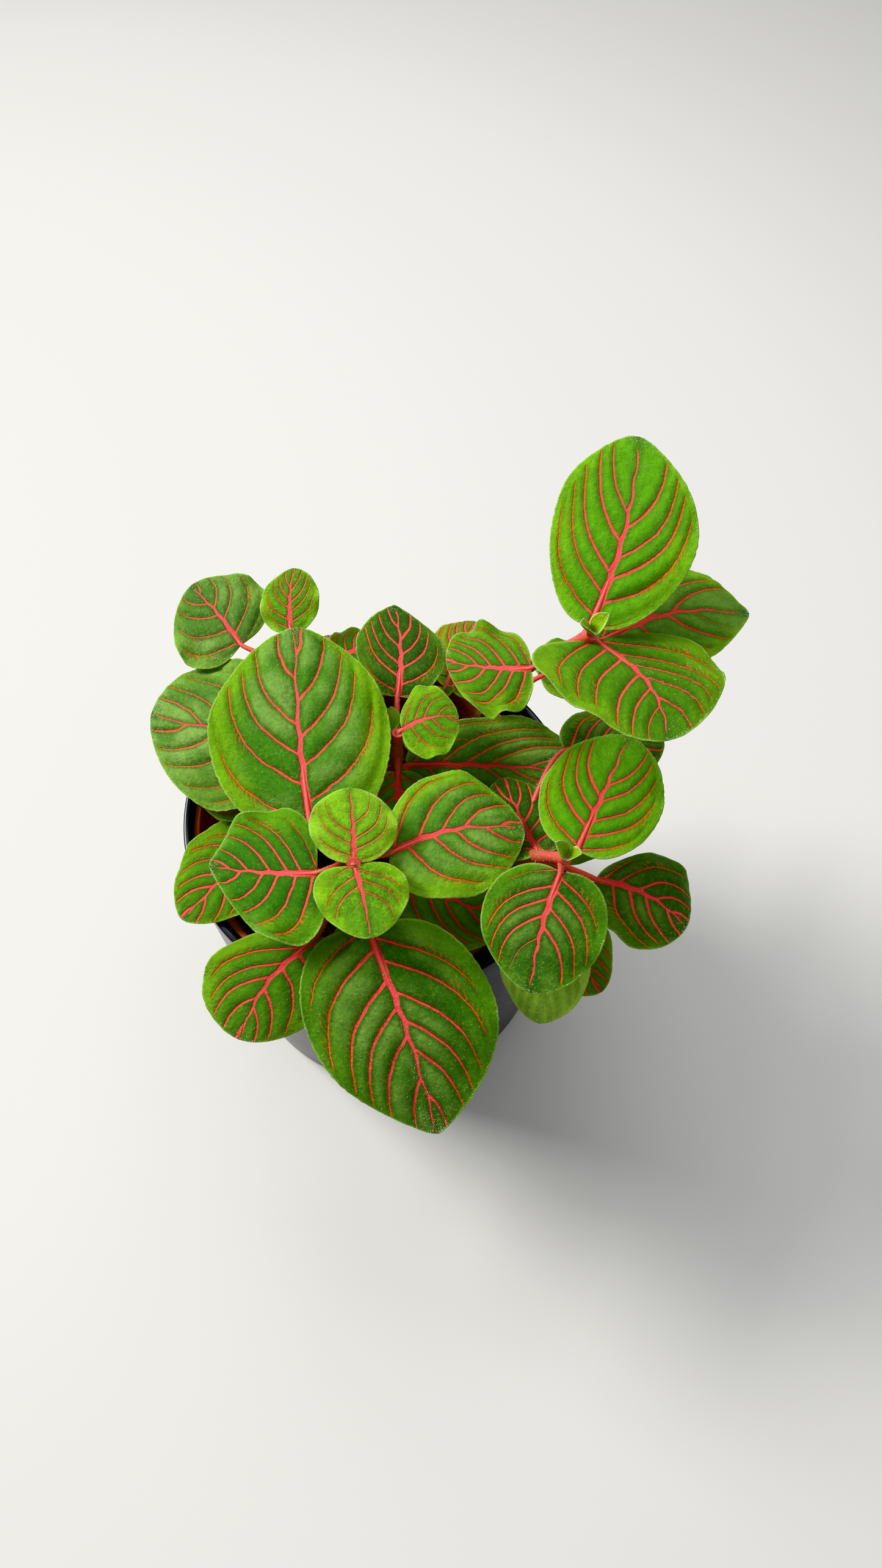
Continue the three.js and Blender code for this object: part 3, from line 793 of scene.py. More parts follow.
class Maker:
    """A geometry node tree with named inputs that turns a carrier object into one finished mesh."""

    def __init__(self, name: str, inputs: Iterable[tuple[str, str, Any]]) -> None:
        """Starts the tree.

        Args:
            name: The tree's name.
            inputs: Name, kind (Float, Int or Material) and value of each input.
        """
        self.tree = bpy.data.node_groups.new(name, "GeometryNodeTree")
        face = self.tree.interface
        face.new_socket("Geometry", in_out="INPUT", socket_type="NodeSocketGeometry")
        self.sockets: dict[str, str] = {}
        for title, kind, value in inputs:
            socket = face.new_socket(title, in_out="INPUT", socket_type=f"NodeSocket{kind}")
            if value is not None:
                socket.default_value = value
            self.sockets[title] = socket.identifier
        face.new_socket("Geometry", in_out="OUTPUT", socket_type="NodeSocketGeometry")
        self.board = Board(self.tree)
        self.start = self.board.add("NodeGroupInput")
        self.end = self.board.add("NodeGroupOutput")

    def value(self, title: str) -> Socket:
        """The tree's input of a name."""
        return self.start.outputs[title]

    def held(self, name: str, kind: str) -> Socket:
        """A value that the carrier holds under a name."""
        node = self.board.add("GeometryNodeInputNamedAttribute", data_type=kind)
        node.inputs["Name"].default_value = name
        return node.outputs["Attribute"]

    def scaled(self, vector: Any, scale: Any) -> Socket:
        """A vector times a number."""
        node = self.board.add("ShaderNodeVectorMath", operation="SCALE")
        return self.board.fill(node, {0: vector, "Scale": scale}).outputs[0]

    def put(self, points: Any, thing: Node, turn: Any, scale: Any) -> Socket:
        """Puts a turned and scaled thing on each point."""
        node = self.board.add("GeometryNodeInstanceOnPoints")
        values = {"Points": points, "Instance": thing.outputs[0], "Rotation": turn, "Scale": scale}
        return self.board.fill(node, values).outputs[0]

    def close(self, geometry: Socket) -> None:
        """Realizes the instances, sets the material and ends the tree."""
        board = self.board
        real = board.fill(board.add("GeometryNodeRealizeInstances"), {0: geometry})
        smooth = board.fill(board.add("GeometryNodeSetShadeSmooth"), {"Geometry": real.outputs[0]})
        dress = board.add("GeometryNodeSetMaterial")
        board.fill(dress, {"Geometry": smooth.outputs[0], "Material": self.value("Material")})
        board.fill(self.end, {0: dress.outputs[0]})

    def run(self, source: bpy.types.Object, name: str, **values: Any) -> bpy.types.Object:
        """Runs the tree on a carrier and returns the result as a plain mesh.

        Args:
            source: The carrier that the tree reads; it is removed.
            name: The new object's name.
            values: The tree's inputs by name.

        Returns:
            The new object.
        """
        modifier = source.modifiers.new("maker", "NODES")
        modifier.node_group = self.tree
        for title, value in values.items():
            modifier[self.sockets[title]] = value
        bpy.context.view_layer.update()
        graph = bpy.context.evaluated_depsgraph_get()
        mesh = bpy.data.meshes.new_from_object(source.evaluated_get(graph), depsgraph=graph)
        mesh.name = name
        obj = bpy.data.objects.new(name, mesh)
        bpy.context.scene.collection.objects.link(obj)
        source.modifiers.remove(modifier)
        bpy.data.objects.remove(source)
        return obj


def tube_maker() -> Maker:
    """A tree that runs a round tube along each chain of edges, as thick as its points say."""
    maker = Maker("tubes_along_paths", [("Sides", "Int", 12), ("Material", "Material", None)])
    board = maker.board
    thick = maker.held("thick", "FLOAT")
    path = board.fill(board.add("GeometryNodeMeshToCurve"), {"Mesh": maker.start.outputs[0]})
    size = board.add("GeometryNodeSetCurveRadius")
    board.fill(size, {"Curve": path.outputs[0], "Radius": thick})
    ring = board.add("GeometryNodeCurvePrimitiveCircle", mode="RADIUS")
    board.fill(ring, {"Resolution": maker.value("Sides"), "Radius": 1.0})
    tube = board.fill(board.add("GeometryNodeCurveToMesh"), {
        "Curve": size.outputs[0], "Profile Curve": ring.outputs[0], "Scale": thick, "Fill Caps": True,
    })
    maker.close(tube.outputs[0])
    return maker


def hair_maker() -> Maker:
    """A tree that sets a slim spike on each point, along its aim and as long as its size."""
    maker = Maker("hairs_on_points", [
        ("Radius", "Float", 0.00003), ("Spread", "Float", 0.3), ("Seed", "Int", 1),
        ("Material", "Material", None),
    ])
    board = maker.board
    radius, seed = maker.value("Radius"), maker.value("Seed")
    spike = board.fill(board.add("GeometryNodeMeshCone", fill_type="NGON"), {
        "Vertices": 3, "Side Segments": 1, "Radius Top": 0.0, "Radius Bottom": 1.0, "Depth": 1.0,
    })
    stray = board.add("FunctionNodeRandomValue", data_type="FLOAT_VECTOR")
    board.fill(stray, {"Min": (-1, -1, -1), "Max": (1, 1, 1), "Seed": seed})
    lean = maker.scaled(stray.outputs[0], maker.value("Spread"))
    way = board.add("ShaderNodeVectorMath", operation="ADD")
    board.fill(way, {0: maker.held("aim", "FLOAT_VECTOR"), 1: lean})
    turn = board.add("FunctionNodeAlignRotationToVector", axis="Z")
    board.fill(turn, {"Vector": way.outputs[0]})
    share = board.add("FunctionNodeRandomValue", data_type="FLOAT")
    board.fill(share, {2: 0.65, 3: 1.25, "Seed": seed})
    length = board.times(share.outputs[1], maker.held("size", "FLOAT"))
    spots = board.fill(board.add("GeometryNodeMeshToPoints"), {"Mesh": maker.start.outputs[0]})
    maker.close(maker.put(spots.outputs[0], spike, turn.outputs[0], board.gather(radius, radius, length)))
    return maker


def crumb_maker() -> Maker:
    """A tree that scatters rough crumbs over a surface."""
    maker = Maker("crumbs_on_a_surface", [
        ("Density", "Float", 20000.0), ("Size", "Float", 0.001), ("Seed", "Int", 1),
        ("Material", "Material", None),
    ])
    board = maker.board
    seed = maker.value("Seed")
    spread = board.add("GeometryNodeDistributePointsOnFaces")
    board.fill(spread, {"Mesh": maker.start.outputs[0], "Density": maker.value("Density"), "Seed": seed})
    crumb = board.add("GeometryNodeMeshIcoSphere")
    board.fill(crumb, {"Radius": 0.5, "Subdivisions": 1})
    turn = board.add("FunctionNodeRandomValue", data_type="FLOAT_VECTOR")
    board.fill(turn, {"Min": (-math.pi,) * 3, "Max": (math.pi,) * 3, "Seed": seed})
    shape = board.add("FunctionNodeRandomValue", data_type="FLOAT_VECTOR")
    other_seed = board.math("ADD", seed, 7.0)
    board.fill(shape, {"Min": (0.5, 0.35, 0.3), "Max": (1.7, 0.9, 0.7), "Seed": other_seed})
    size = maker.scaled(shape.outputs[0], maker.value("Size"))
    maker.close(maker.put(spread.outputs["Points"], crumb, turn.outputs[0], size))
    return maker


def carrier(name: str, points: Array, edges: Sequence[tuple[int, int]] = ()) -> bpy.types.Object:
    """An object of loose points or chains of edges, in millimetres, for a tree to read."""
    mesh = bpy.data.meshes.new(name)
    mesh.from_pydata((np.asarray(points) * MM).tolist(), [tuple(map(int, edge)) for edge in edges], [])
    obj = bpy.data.objects.new(name, mesh)
    bpy.context.scene.collection.objects.link(obj)
    return obj


# ---------------------------------------------------------------- leaves


def smooth(value: Array, low: float, high: float) -> Array:
    """A smooth change from 0 at low to 1 at high."""
    share = np.clip((value - low) / (high - low), 0, 1)
    return share * share * (3 - 2 * share)


def unit(vector: Array) -> Array:
    """Vectors made one long."""
    return vector / np.maximum(np.linalg.norm(vector, axis=-1, keepdims=True), 1e-9)


class Tone(Enum):
    """A blade's green in its middle and along its margin, and how much painted sheen it carries."""

    VELVET = (colour(56, 116, 20), colour(100, 152, 2), 0.6)
    DEEP = (colour(38, 94, 6), colour(68, 124, 8), 0.5)
    BRIGHT = (colour(84, 154, 8), colour(106, 168, 18), 0.08)
    GRASS = (colour(70, 126, 8), colour(100, 148, 16), 0.15)
    GLOSSY = (colour(42, 108, 4), colour(80, 138, 10), 0.05)
    PLUSH = (colour(76, 130, 40), colour(112, 164, 28), 0.55)
    YOUNG = (colour(118, 174, 30), colour(138, 188, 50), 0.15)
    LIME = (colour(84, 144, 10), colour(112, 166, 24), 0.1)
    # painted shade: darker greens for the blades that lie in shade, with some painted sheen
    SHADE = (colour(40, 82, 10), colour(68, 114, 20), 0.45)
    # painted sheen: greyed greens and a strong painted sheen for blades with a whitish sheen
    GREY_SHEEN = (colour(74, 118, 46), colour(104, 146, 56), 0.75)
    OLIVE = (colour(126, 136, 32), colour(148, 154, 50), 0.2)
    # painted light: greens lightened to make up for the shade the blade lies in, with its whitish gloss
    # painted in
    LIT_PALE = (colour(160, 204, 88), colour(172, 212, 100), 0.3)
    BUD = (colour(160, 206, 26), colour(178, 214, 50), 0.1)


@dataclass(frozen=True)
class Leaf:
    """One leaf: how it leaves its stem, how its blade lies, and how it looks."""

    bearing: float
    length: float
    width: float
    stalk: float = 8.0
    rise: float = 10.0
    turn: float = 0.0
    pitch: float = 0.0
    bend: float = 18.0
    roll: float = 0.0
    sweep: float = 0.0
    cup: float = -1.0
    wave: float = 0.9
    waves: float = 2.5
    phase: float = 0.0
    point: float = 0.1
    lobe: float = 0.12
    waist: float = 0.88
    bow: float = 0.0
    age: float = 0.8
    veins: float = 5.5
    last: float = 0.92
    tone: Tone = Tone.GRASS

    def half(self, u: Array) -> Array:
        """The blade's half width at u from 0 at the stalk to 1 at the tip, as a share of its greatest."""
        round_part = np.sqrt(np.maximum(np.sin(math.pi * u**self.waist), 0))
        return round_part * (1 - self.point * u**7)

    def vigour(self) -> float:
        """How boldly the blade swells between its veins: less where it is small or young."""
        youth = 0.35 + 0.65 * smooth(np.array(self.age), 0.0, 0.6)
        return min(1.0, self.length / 30) * youth

    def way(self) -> Array:
        """The direction in which the stalk leaves the stem."""
        bearing, rise = math.radians(self.bearing), math.radians(self.rise)
        level = math.cos(rise)
        return np.array([level * math.cos(bearing), level * math.sin(bearing), math.sin(rise)])

    def lay(self, base: Array, u: Array, v: Array) -> tuple[Array, Array, Array]:
        """Where the plain upper face lies.

        Args:
            base: Where the blade starts, in millimetres.
            u: Shares of the length, from stalk to tip.
            v: Shares of the half width, negative on the right.

        Returns:
            Places, directions along the blade and directions up from it.
        """
        heading = math.radians(self.bearing + self.turn)
        start = math.radians(self.pitch)
        bend = math.radians(self.bend or 0.01)
        here = start - bend * u
        forward = self.length * (math.sin(start) - np.sin(here)) / bend
        rise = self.length * (np.cos(here) - math.cos(start)) / bend
        flat = np.array([math.cos(heading), math.sin(heading), 0.0])
        level = np.array([-math.sin(heading), math.cos(heading), 0.0])
        height = np.array([0.0, 0.0, 1.0])
        along = np.cos(here)[..., None] * flat + np.sin(here)[..., None] * height
        upright = np.cross(along, np.broadcast_to(level, along.shape))
        tilt = np.radians(self.roll)
        across = level * np.cos(tilt) + upright * np.sin(tilt)
        up = upright * np.cos(tilt) - level * np.sin(tilt)
        share = self.half(u)
        side = v * share * self.width / 2 + self.length * math.radians(self.sweep) * u * u / 2
        side = side + self.bow * np.sin(math.pi * u)
        lobe = -self.lobe * self.length * share * (1 - u) ** 4 * v * v
        ripple = np.sin(2 * math.pi * (self.waves * u + np.sign(v) * 0.17) + self.phase)
        lift = self.cup * v * v * share + self.wave * np.abs(v) ** 3 * ripple * np.sin(math.pi * u)
        spot = base + forward[..., None] * flat + rise[..., None] * height
        spot = spot + across * side[..., None] + along * lobe[..., None] + up * lift[..., None]
        return spot, along, up


def bud(bearing: float, size: float) -> list[Leaf]:
    """The pair of small folded leaves at a stem's end."""
    shape = dict(
        stalk=0.6, rise=70.0, pitch=66.0, bend=14.0, cup=0.8, wave=0.0, lobe=0.0, point=0.5,
        age=0.08, veins=4.0, tone=Tone.BUD,
    )
    return [Leaf(bearing, size, size * 0.72, **shape), Leaf(bearing + 180, size * 0.94, size * 0.68, **shape)]


def crowded(steps: int, amount: float) -> Array:
    """Shares from 0 to 1 in a number of steps, closer together near both ends."""
    even = np.linspace(0, 1, steps + 1)
    return even - amount * np.sin(2 * math.pi * even) / (2 * math.pi)


@dataclass(frozen=True)
class BladeGrid:
    """Where one blade's points lie on it, by row from stalk to tip and by column across."""

    u: Array
    v: Array
    along_mm: Array
    side_mm: Array
    edge_mm: Array
    start: Array

    @property
    def y(self) -> Array:
        """Shares of the half width, all positive."""
        return np.abs(self.v)

    def part(self, columns: slice) -> BladeGrid:
        """The same for some of the columns."""
        values = (self.u, self.v, self.along_mm, self.side_mm, self.edge_mm, self.start)
        return BladeGrid(*(value[:, columns] for value in values))


@dataclass
class BladeMesh:
    """Gathers the fine blades of one stem: quilted between sunken veins, thin at the margin."""

    cell: float = 0.5
    least_rows: int = 14
    least_columns: int = 7
    thickness: float = 0.5
    rim_thickness: float = 0.24
    rib_thickness: float = 0.45
    rib_half: float = 0.9
    quilt: float = 1.1
    groove: float = 0.3
    groove_half: float = 1.0
    frill: float = 0.12
    billow: float = 0.16
    billow_spans: Range = (7.1, 6.3)
    crinkle: float = 0.004
    crinkle_waves: tuple[int, int] = (21, 34)
    zigzag: float = 0.24
    vein_half: float = 0.34
    vein_spread: Range = (0.98, 1.08)
    vein_steepness: Range = (4.0, 3.2)
    vein_crowding: float = 0.35
    vein_offsets: Range = (0.12, -0.3)
    vein_shift: float = 0.1
    vein_taper: float = 0.5
    vein_ends: Range = (0.8, 0.92)
    vein_strengths: Range = (0.85, 1.12)
    most_veins: int = 20
    fringe_step: float = 0.2
    fringe_length: Range = (0.45, 0.8)
    bristle_density: float = 0.45
    bristle_length: Range = (0.3, 0.6)
    points: list[Array] = field(default_factory=list)
    faces: list[list[int]] = field(default_factory=list)
    measures: list[Array] = field(default_factory=list)
    shares: list[Array] = field(default_factory=list)
    looks: list[Array] = field(default_factory=list)
    vein_looks: list[Array] = field(default_factory=list)
    middles: list[Array] = field(default_factory=list)
    margins: list[Array] = field(default_factory=list)
    phases: list[float] = field(default_factory=list)
    hair_points: list[Array] = field(default_factory=list)
    hair_aims: list[Array] = field(default_factory=list)
    hair_sizes: list[Array] = field(default_factory=list)
    count: int = 0

    def vein_start(self, leaf: Leaf, u: Array, y: Array) -> Array:
        """Where on the midrib the side vein starts that passes through each place.

        A side vein leaves the midrib steeply, then bends towards the tip and runs on beside the margin: its
        share of the greatest half width grows like tanh with the distance from its start.

        Args:
            leaf: The leaf.
            u: Shares of the length.
            y: Shares of the half width, all positive.

        Returns:
            The starts, as shares of the length; below 0 for places outside the first vein.
        """
        aside = y * leaf.half(u)
        (widest, narrowing), (steepest, easing) = self.vein_spread, self.vein_steepness
        low, high = np.full(u.shape, -0.45), u.copy()
        for _ in range(26):
            middle = (low + high) / 2
            limit = widest - narrowing * np.maximum(middle, -0.05)
            limit = np.maximum(limit, 0.02)
            steep = steepest - easing * middle
            beyond = limit * np.tanh(steep * (u - middle) / limit) > aside
            low = np.where(beyond, middle, low)
            high = np.where(beyond, high, middle)
        return (low + high) / 2

    def count_veins(self, leaf: Leaf, start: Array, left: bool, warp: Sequence[float]) -> Array:
        """Counts the side veins from the base: whole numbers lie on veins.

        Args:
            leaf: The leaf.
            start: Where the vein through each place starts on the midrib.
            left: Whether this is the left half, whose veins stand between the right half's.
            warp: Two angles that make the spacing a little uneven.

        Returns:
            The count at each place.
        """
        crowding = self.vein_crowding
        count = leaf.veins * ((1 + crowding) * start - crowding * start**2) + self.vein_offsets[int(left)]
        return count + self.vein_shift * np.sin(2.1 * count + warp[int(left)])

    def vein_pitch(self, count: Array, grid: BladeGrid) -> Array:
        """The distance in millimetres between side veins at each place.

        Args:
            count: The count of veins.
            grid: The places.

        Returns:
            The distances.
        """
        (ci, cj), (ai, aj), (si, sj) = map(np.gradient, (count, grid.along_mm, grid.side_mm))
        area = ai * sj - aj * si
        area = np.where(np.abs(area) < 1e-6, 1e-6, area)
        slope = np.hypot((ci * sj - cj * si) / area, (cj * ai - ci * aj) / area)
        return np.clip(1 / np.maximum(slope, 1e-3), 0.6, 14.0)

    def vein_width(self, leaf: Leaf, count: Array, grid: BladeGrid, draw: np.random.RandomState) -> Array:
        """Half the width of the nearest side vein in millimetres, 0 past its end.

        Args:
            leaf: The leaf.
            count: The count of veins.
            grid: The places.
            draw: Where random numbers come from.

        Returns:
            The half widths.
        """
        y, start = grid.y, grid.start
        which = np.clip(np.round(count).astype(int) + 3, 0, self.most_veins - 1)
        end = draw.uniform(*self.vein_ends, self.most_veins)[which]
        strong = draw.uniform(*self.vein_strengths, self.most_veins)[which]
        width = self.vein_half * strong * (1 - self.vein_taper * smooth(y, 0.0, 0.95))
        # small and young leaves have finer veins
        width = width * (0.55 + 0.45 * min(1.0, leaf.length / 32))
        width = width * (0.62 + 0.38 * smooth(np.array(leaf.age), 0.35, 0.55))
        width = width * (1 - smooth(y, end - 0.03, end + 0.06)) * smooth(start, -0.05, 0.0)
        nearest = start + (np.round(count) - count) / (leaf.veins * 1.1)
        return width * (1 - smooth(nearest, leaf.last - 0.03, leaf.last + 0.03))

    def grid(self, leaf: Leaf) -> BladeGrid:
        """Lays out a blade's points, closer together at its ends, its margins and its midrib."""
        rows = max(self.least_rows, round(leaf.length / self.cell))
        columns = max(self.least_columns, round(leaf.width / 2 / self.cell))
        one_side = crowded(columns, 0.45)
        both_sides = np.concatenate([-one_side[:0:-1], one_side])
        u, v = np.meshgrid(crowded(rows, 0.7), both_sides, indexing="ij")
        y = np.abs(v)
        half = leaf.half(u) * leaf.width / 2
        along_mm = leaf.length * u - leaf.lobe * leaf.length * leaf.half(u) * (1 - u) ** 4 * v * v
        slope = np.gradient(half, axis=0) / np.maximum(np.gradient(leaf.length * u, axis=0), 1e-6)
        edge_mm = (1 - y) * half / np.sqrt(1 + (slope * v) ** 2)
        return BladeGrid(u, v, along_mm, v * half, edge_mm, self.vein_start(leaf, u, y))

    def relief(self, leaf: Leaf, grid: BladeGrid, count: Array, pitch: Array,
               draw: np.random.RandomState) -> tuple[Array, Array]:
        """How far the upper face stands off its plain form: quilted, grooved, frilled and crinkled.

        Args:
            leaf: The leaf.
            grid: The places.
            count: The count of veins.
            pitch: The distances between veins.
            draw: Where random numbers come from.

        Returns:
            Lifts up from the blade and shifts across it, in millimetres.
        """
        u, y, side_mm, start, size = grid.u, grid.y, grid.side_mm, grid.start, leaf.vigour()
        inside = smooth(start, -0.08, 0.03) * (1 - smooth(start, leaf.last - 0.08, leaf.last + 0.05))
        fade = smooth(side_mm**2, 0.4, 9.0) * smooth(grid.edge_mm, 0.2, 3.0) * inside
        off = 2 * np.abs(count - np.round(count))
        pillow = np.sin(math.pi / 2 * off) ** 0.8 - 0.55
        lift = self.quilt * size * fade * pillow * np.clip(pitch / 5, 0.3, 1.15)
        lift -= self.groove * size * np.exp(-((side_mm / self.groove_half) ** 2)) * (1 - u) ** 0.4
        lift += self.frill * size * y**5 * np.sin(2 * math.pi * (count + draw.rand()))
        wander = draw.rand(3) * 2 * math.pi
        long_span, cross_span = self.billow_spans
        broad = np.sin(grid.along_mm / long_span + wander[0]) * np.sin(side_mm / cross_span + wander[1])
        lift += self.billow * size * broad * (1 - y**4)
        broader, finer = self.crinkle_waves
        crinkle = self.crinkle * np.sin(2 * math.pi * u * broader + wander[2])
        crinkle = crinkle + self.crinkle * np.sin(2 * math.pi * u * finer + wander[0])
        return lift, side_mm * crinkle * y**8

    def depth(self, leaf: Leaf, grid: BladeGrid) -> Array:
        """The blade's thickness in millimetres: thin at the margin, thicker along the midrib."""
        body = smooth(grid.edge_mm, 0.0, 2.0)
        rib = np.exp(-((grid.side_mm / self.rib_half) ** 2)) * (1 - grid.u)
        thick = self.rim_thickness + (self.thickness - self.rim_thickness) * body
        return thick + self.rib_thickness * leaf.vigour() * rib

    def add(self, leaf: Leaf, base: Array, seed: int) -> None:
        """Adds one blade.

        Args:
            leaf: The leaf.
            base: Where its blade starts.
            seed: The number that its small differences are drawn from.
        """
        draw = np.random.RandomState(seed)
        grid = self.grid(leaf)
        u, v, side_mm = grid.u, grid.v, grid.side_mm
        warp = draw.uniform(0, 2 * math.pi, 2)
        counts = [self.count_veins(leaf, grid.start, left, warp) for left in (False, True)]
        pitch, widths = np.empty_like(u), np.empty_like(u)
        middle = u.shape[1] // 2
        for side, columns in zip(counts, (slice(0, middle + 1), slice(middle, None))):
            part = grid.part(columns)
            pitch[:, columns] = self.vein_pitch(side[:, columns], part)
            widths[:, columns] = self.vein_width(leaf, side[:, columns], part, draw)
        pitch = np.clip(pitch, 0.6, leaf.length / leaf.veins * 1.3)
        count = np.where(v > 0, counts[1], counts[0])
        spot, along, up = leaf.lay(base, u, v)
        across = np.cross(up, along)
        lift, shift = self.relief(leaf, grid, count, pitch, draw)
        top = spot + up * lift[..., None] + across * shift[..., None]
        bottom = top - up * self.depth(leaf, grid)[..., None]
        run = np.hypot(leaf.length * (u - grid.start), side_mm)
        turning = np.sin(math.pi * (counts[0] + counts[1]))
        zigzag = self.zigzag * leaf.vigour() * turning * smooth(u, 0.05, 0.3)
        rib_mm = side_mm - zigzag * np.exp(-((side_mm / 2.0) ** 2))
        values = {
            "measures": np.stack([grid.along_mm, rib_mm, grid.edge_mm], -1),
            "shares": np.stack([grid.y, u, pitch], -1),
            # the tone's third value is its amount of painted sheen
            "vein_looks": np.stack([widths, run, np.full(u.shape, leaf.tone.value[2])], -1),
        }
        numbers = self.number(top, bottom, values, leaf, draw.rand())
        self.skin(numbers, v[0], counts)
        self.plant_hairs(draw, leaf, v, (top, up, along, across))

    def number(self, top: Array, bottom: Array, values: dict[str, Array], leaf: Leaf,
               seed_share: float) -> Array:
        """Stores both faces' points with their values.

        Args:
            top: Places of the upper face, by row and column.
            bottom: Places of the lower face.
            values: Values at each place, by the list that they are kept in.
            leaf: The leaf.
            seed_share: The leaf's own number from 0 to 1.

        Returns:
            The point numbers, by face, row and column.
        """
        rows, columns = top.shape[:2]
        middle = columns // 2
        numbers = np.zeros((2, rows, columns), int)
        for face, places in enumerate((top, bottom)):
            for row in range(rows):
                single = row in (0, rows - 1)
                picked = [middle] if single else list(range(columns))
                numbers[face, row] = self.count if single else self.count + np.arange(columns)
                self.points.append(places[row, picked])
                for title, value in values.items():
                    getattr(self, title).append(value[row, picked])
                alike = (len(picked), 1)
                self.looks.append(np.tile([leaf.age, seed_share, 1.0 - face], alike))
                self.middles.append(np.tile(leaf.tone.value[0][:3], alike))
                self.margins.append(np.tile(leaf.tone.value[1][:3], alike))
                self.count += len(picked)
        return numbers

    def skin(self, numbers: Array, across_v: Array, counts: Sequence[Array]) -> None:
        """Joins both faces and the wall between them.

        Args:
            numbers: The point numbers, by face, row and column.
            across_v: The columns' shares of the half width.
            counts: The counts of veins for the right and the left half.
        """
        rows, columns = numbers.shape[1:]
        for row in range(rows - 1):
            for column in range(columns - 1):
                count = counts[int(across_v[column] + across_v[column + 1] > 0)]
                square = [(row, column), (row + 1, column), (row + 1, column + 1), (row, column + 1)]
                for side, order in ((numbers[0], 1), (numbers[1], -1)):
                    self.face((side[at], count[at]) for at in square[::order])
        for column, order in ((0, 1), (columns - 1, -1)):
            count = counts[int(column > 0)]
            for row in range(rows - 1):
                wall = [(0, row), (1, row), (1, row + 1), (0, row + 1)][::order]
                self.face((numbers[side, at, column], count[at, column]) for side, at in wall)

    def face(self, corners: Iterable[tuple[int, float]]) -> None:
        """Adds one face from point numbers and vein counts, leaving out corners that fall together."""
        found: dict[int, float] = {}
        for number, count in corners:
            found.setdefault(int(number), float(count))
        if len(found) > 2:
            self.faces.append(list(found))
            self.phases.extend(found.values())

    def plant_hairs(self, draw: np.random.RandomState, leaf: Leaf, v: Array,
                    laid: Sequence[Array]) -> None:
        """Sets the roots of the margin's fringe and of the face's bristles.

        Args:
            draw: Where random numbers come from.
            leaf: The leaf.
            v: Shares of the half width.
            laid: Places of the upper face, and directions up from it, along it and across it.
        """
        top, up, along, across = laid
        rows, columns = top.shape[:2]
        step = self.fringe_step
        for column, sign in ((0, -1.0), (columns - 1, 1.0)):
            line = top[:, column]
            steps = np.linalg.norm(np.diff(line, axis=0), axis=1)
            reach = np.concatenate([[0], np.cumsum(steps)])
            wanted = np.arange(step, reach[-1], step)
            wanted = wanted + draw.uniform(-step / 2, step / 2, len(wanted))
            way = unit(np.gradient(line, axis=0))
            out = unit(np.cross(way, up[:, column]) * sign)
            spots, outs, ups = (
                np.stack([np.interp(wanted, reach, values[:, k]) for k in range(3)], -1)
                for values in (line, out, up[:, column])
            )
            outs = unit(outs + ups * draw.uniform(-0.2, 0.5, (len(wanted), 1)))
            lengths = draw.uniform(*self.fringe_length, len(wanted))
            self.keep_hairs(spots - outs * 0.05 - ups * 0.08, outs, lengths)
        amount = int(0.75 * leaf.length * leaf.width * self.bristle_density)
        row = draw.randint(2, rows - 3, amount)
        column = draw.randint(1, columns - 2, amount)
        mix = draw.rand(amount, 1)
        spots = top[row, column] * (1 - mix) + top[row + 1, column + 1] * mix
        lean = up[row, column] + along[row, column] * 0.5
        lean += across[row, column] * (np.sign(v[row, column]) * 0.3)[:, None]
        lengths = draw.uniform(*self.bristle_length, amount)
        self.keep_hairs(spots - up[row, column] * 0.04, unit(lean), lengths)

    def keep_hairs(self, spots: Array, aims: Array, sizes: Array) -> None:
        """Keeps hair roots with their directions and lengths."""
        self.hair_points.append(spots)
        self.hair_aims.append(aims)
        self.hair_sizes.append(sizes)

    def build(self, name: str) -> bpy.types.Object:
        """Makes the mesh of all the blades added."""
        obj = add_mesh(name, np.concatenate(self.points), self.faces)
        layers = {
            "blade_mm": self.measures, "blade_share": self.shares, "blade_look": self.looks,
            "vein_look": self.vein_looks, "blade_middle": self.middles, "blade_margin": self.margins,
        }
        for title, values in layers.items():
            add_values(obj, title, np.concatenate(values))
        add_values(obj, "vein_phase", np.array(self.phases), "CORNER")
        return obj

    def hair_roots(self, name: str) -> bpy.types.Object:
        """The points that the hairs grow from."""
        roots = carrier(name, np.concatenate(self.hair_points))
        add_values(roots, "aim", np.concatenate(self.hair_aims))
        add_values(roots, "size", np.concatenate(self.hair_sizes) * MM)
        return roots


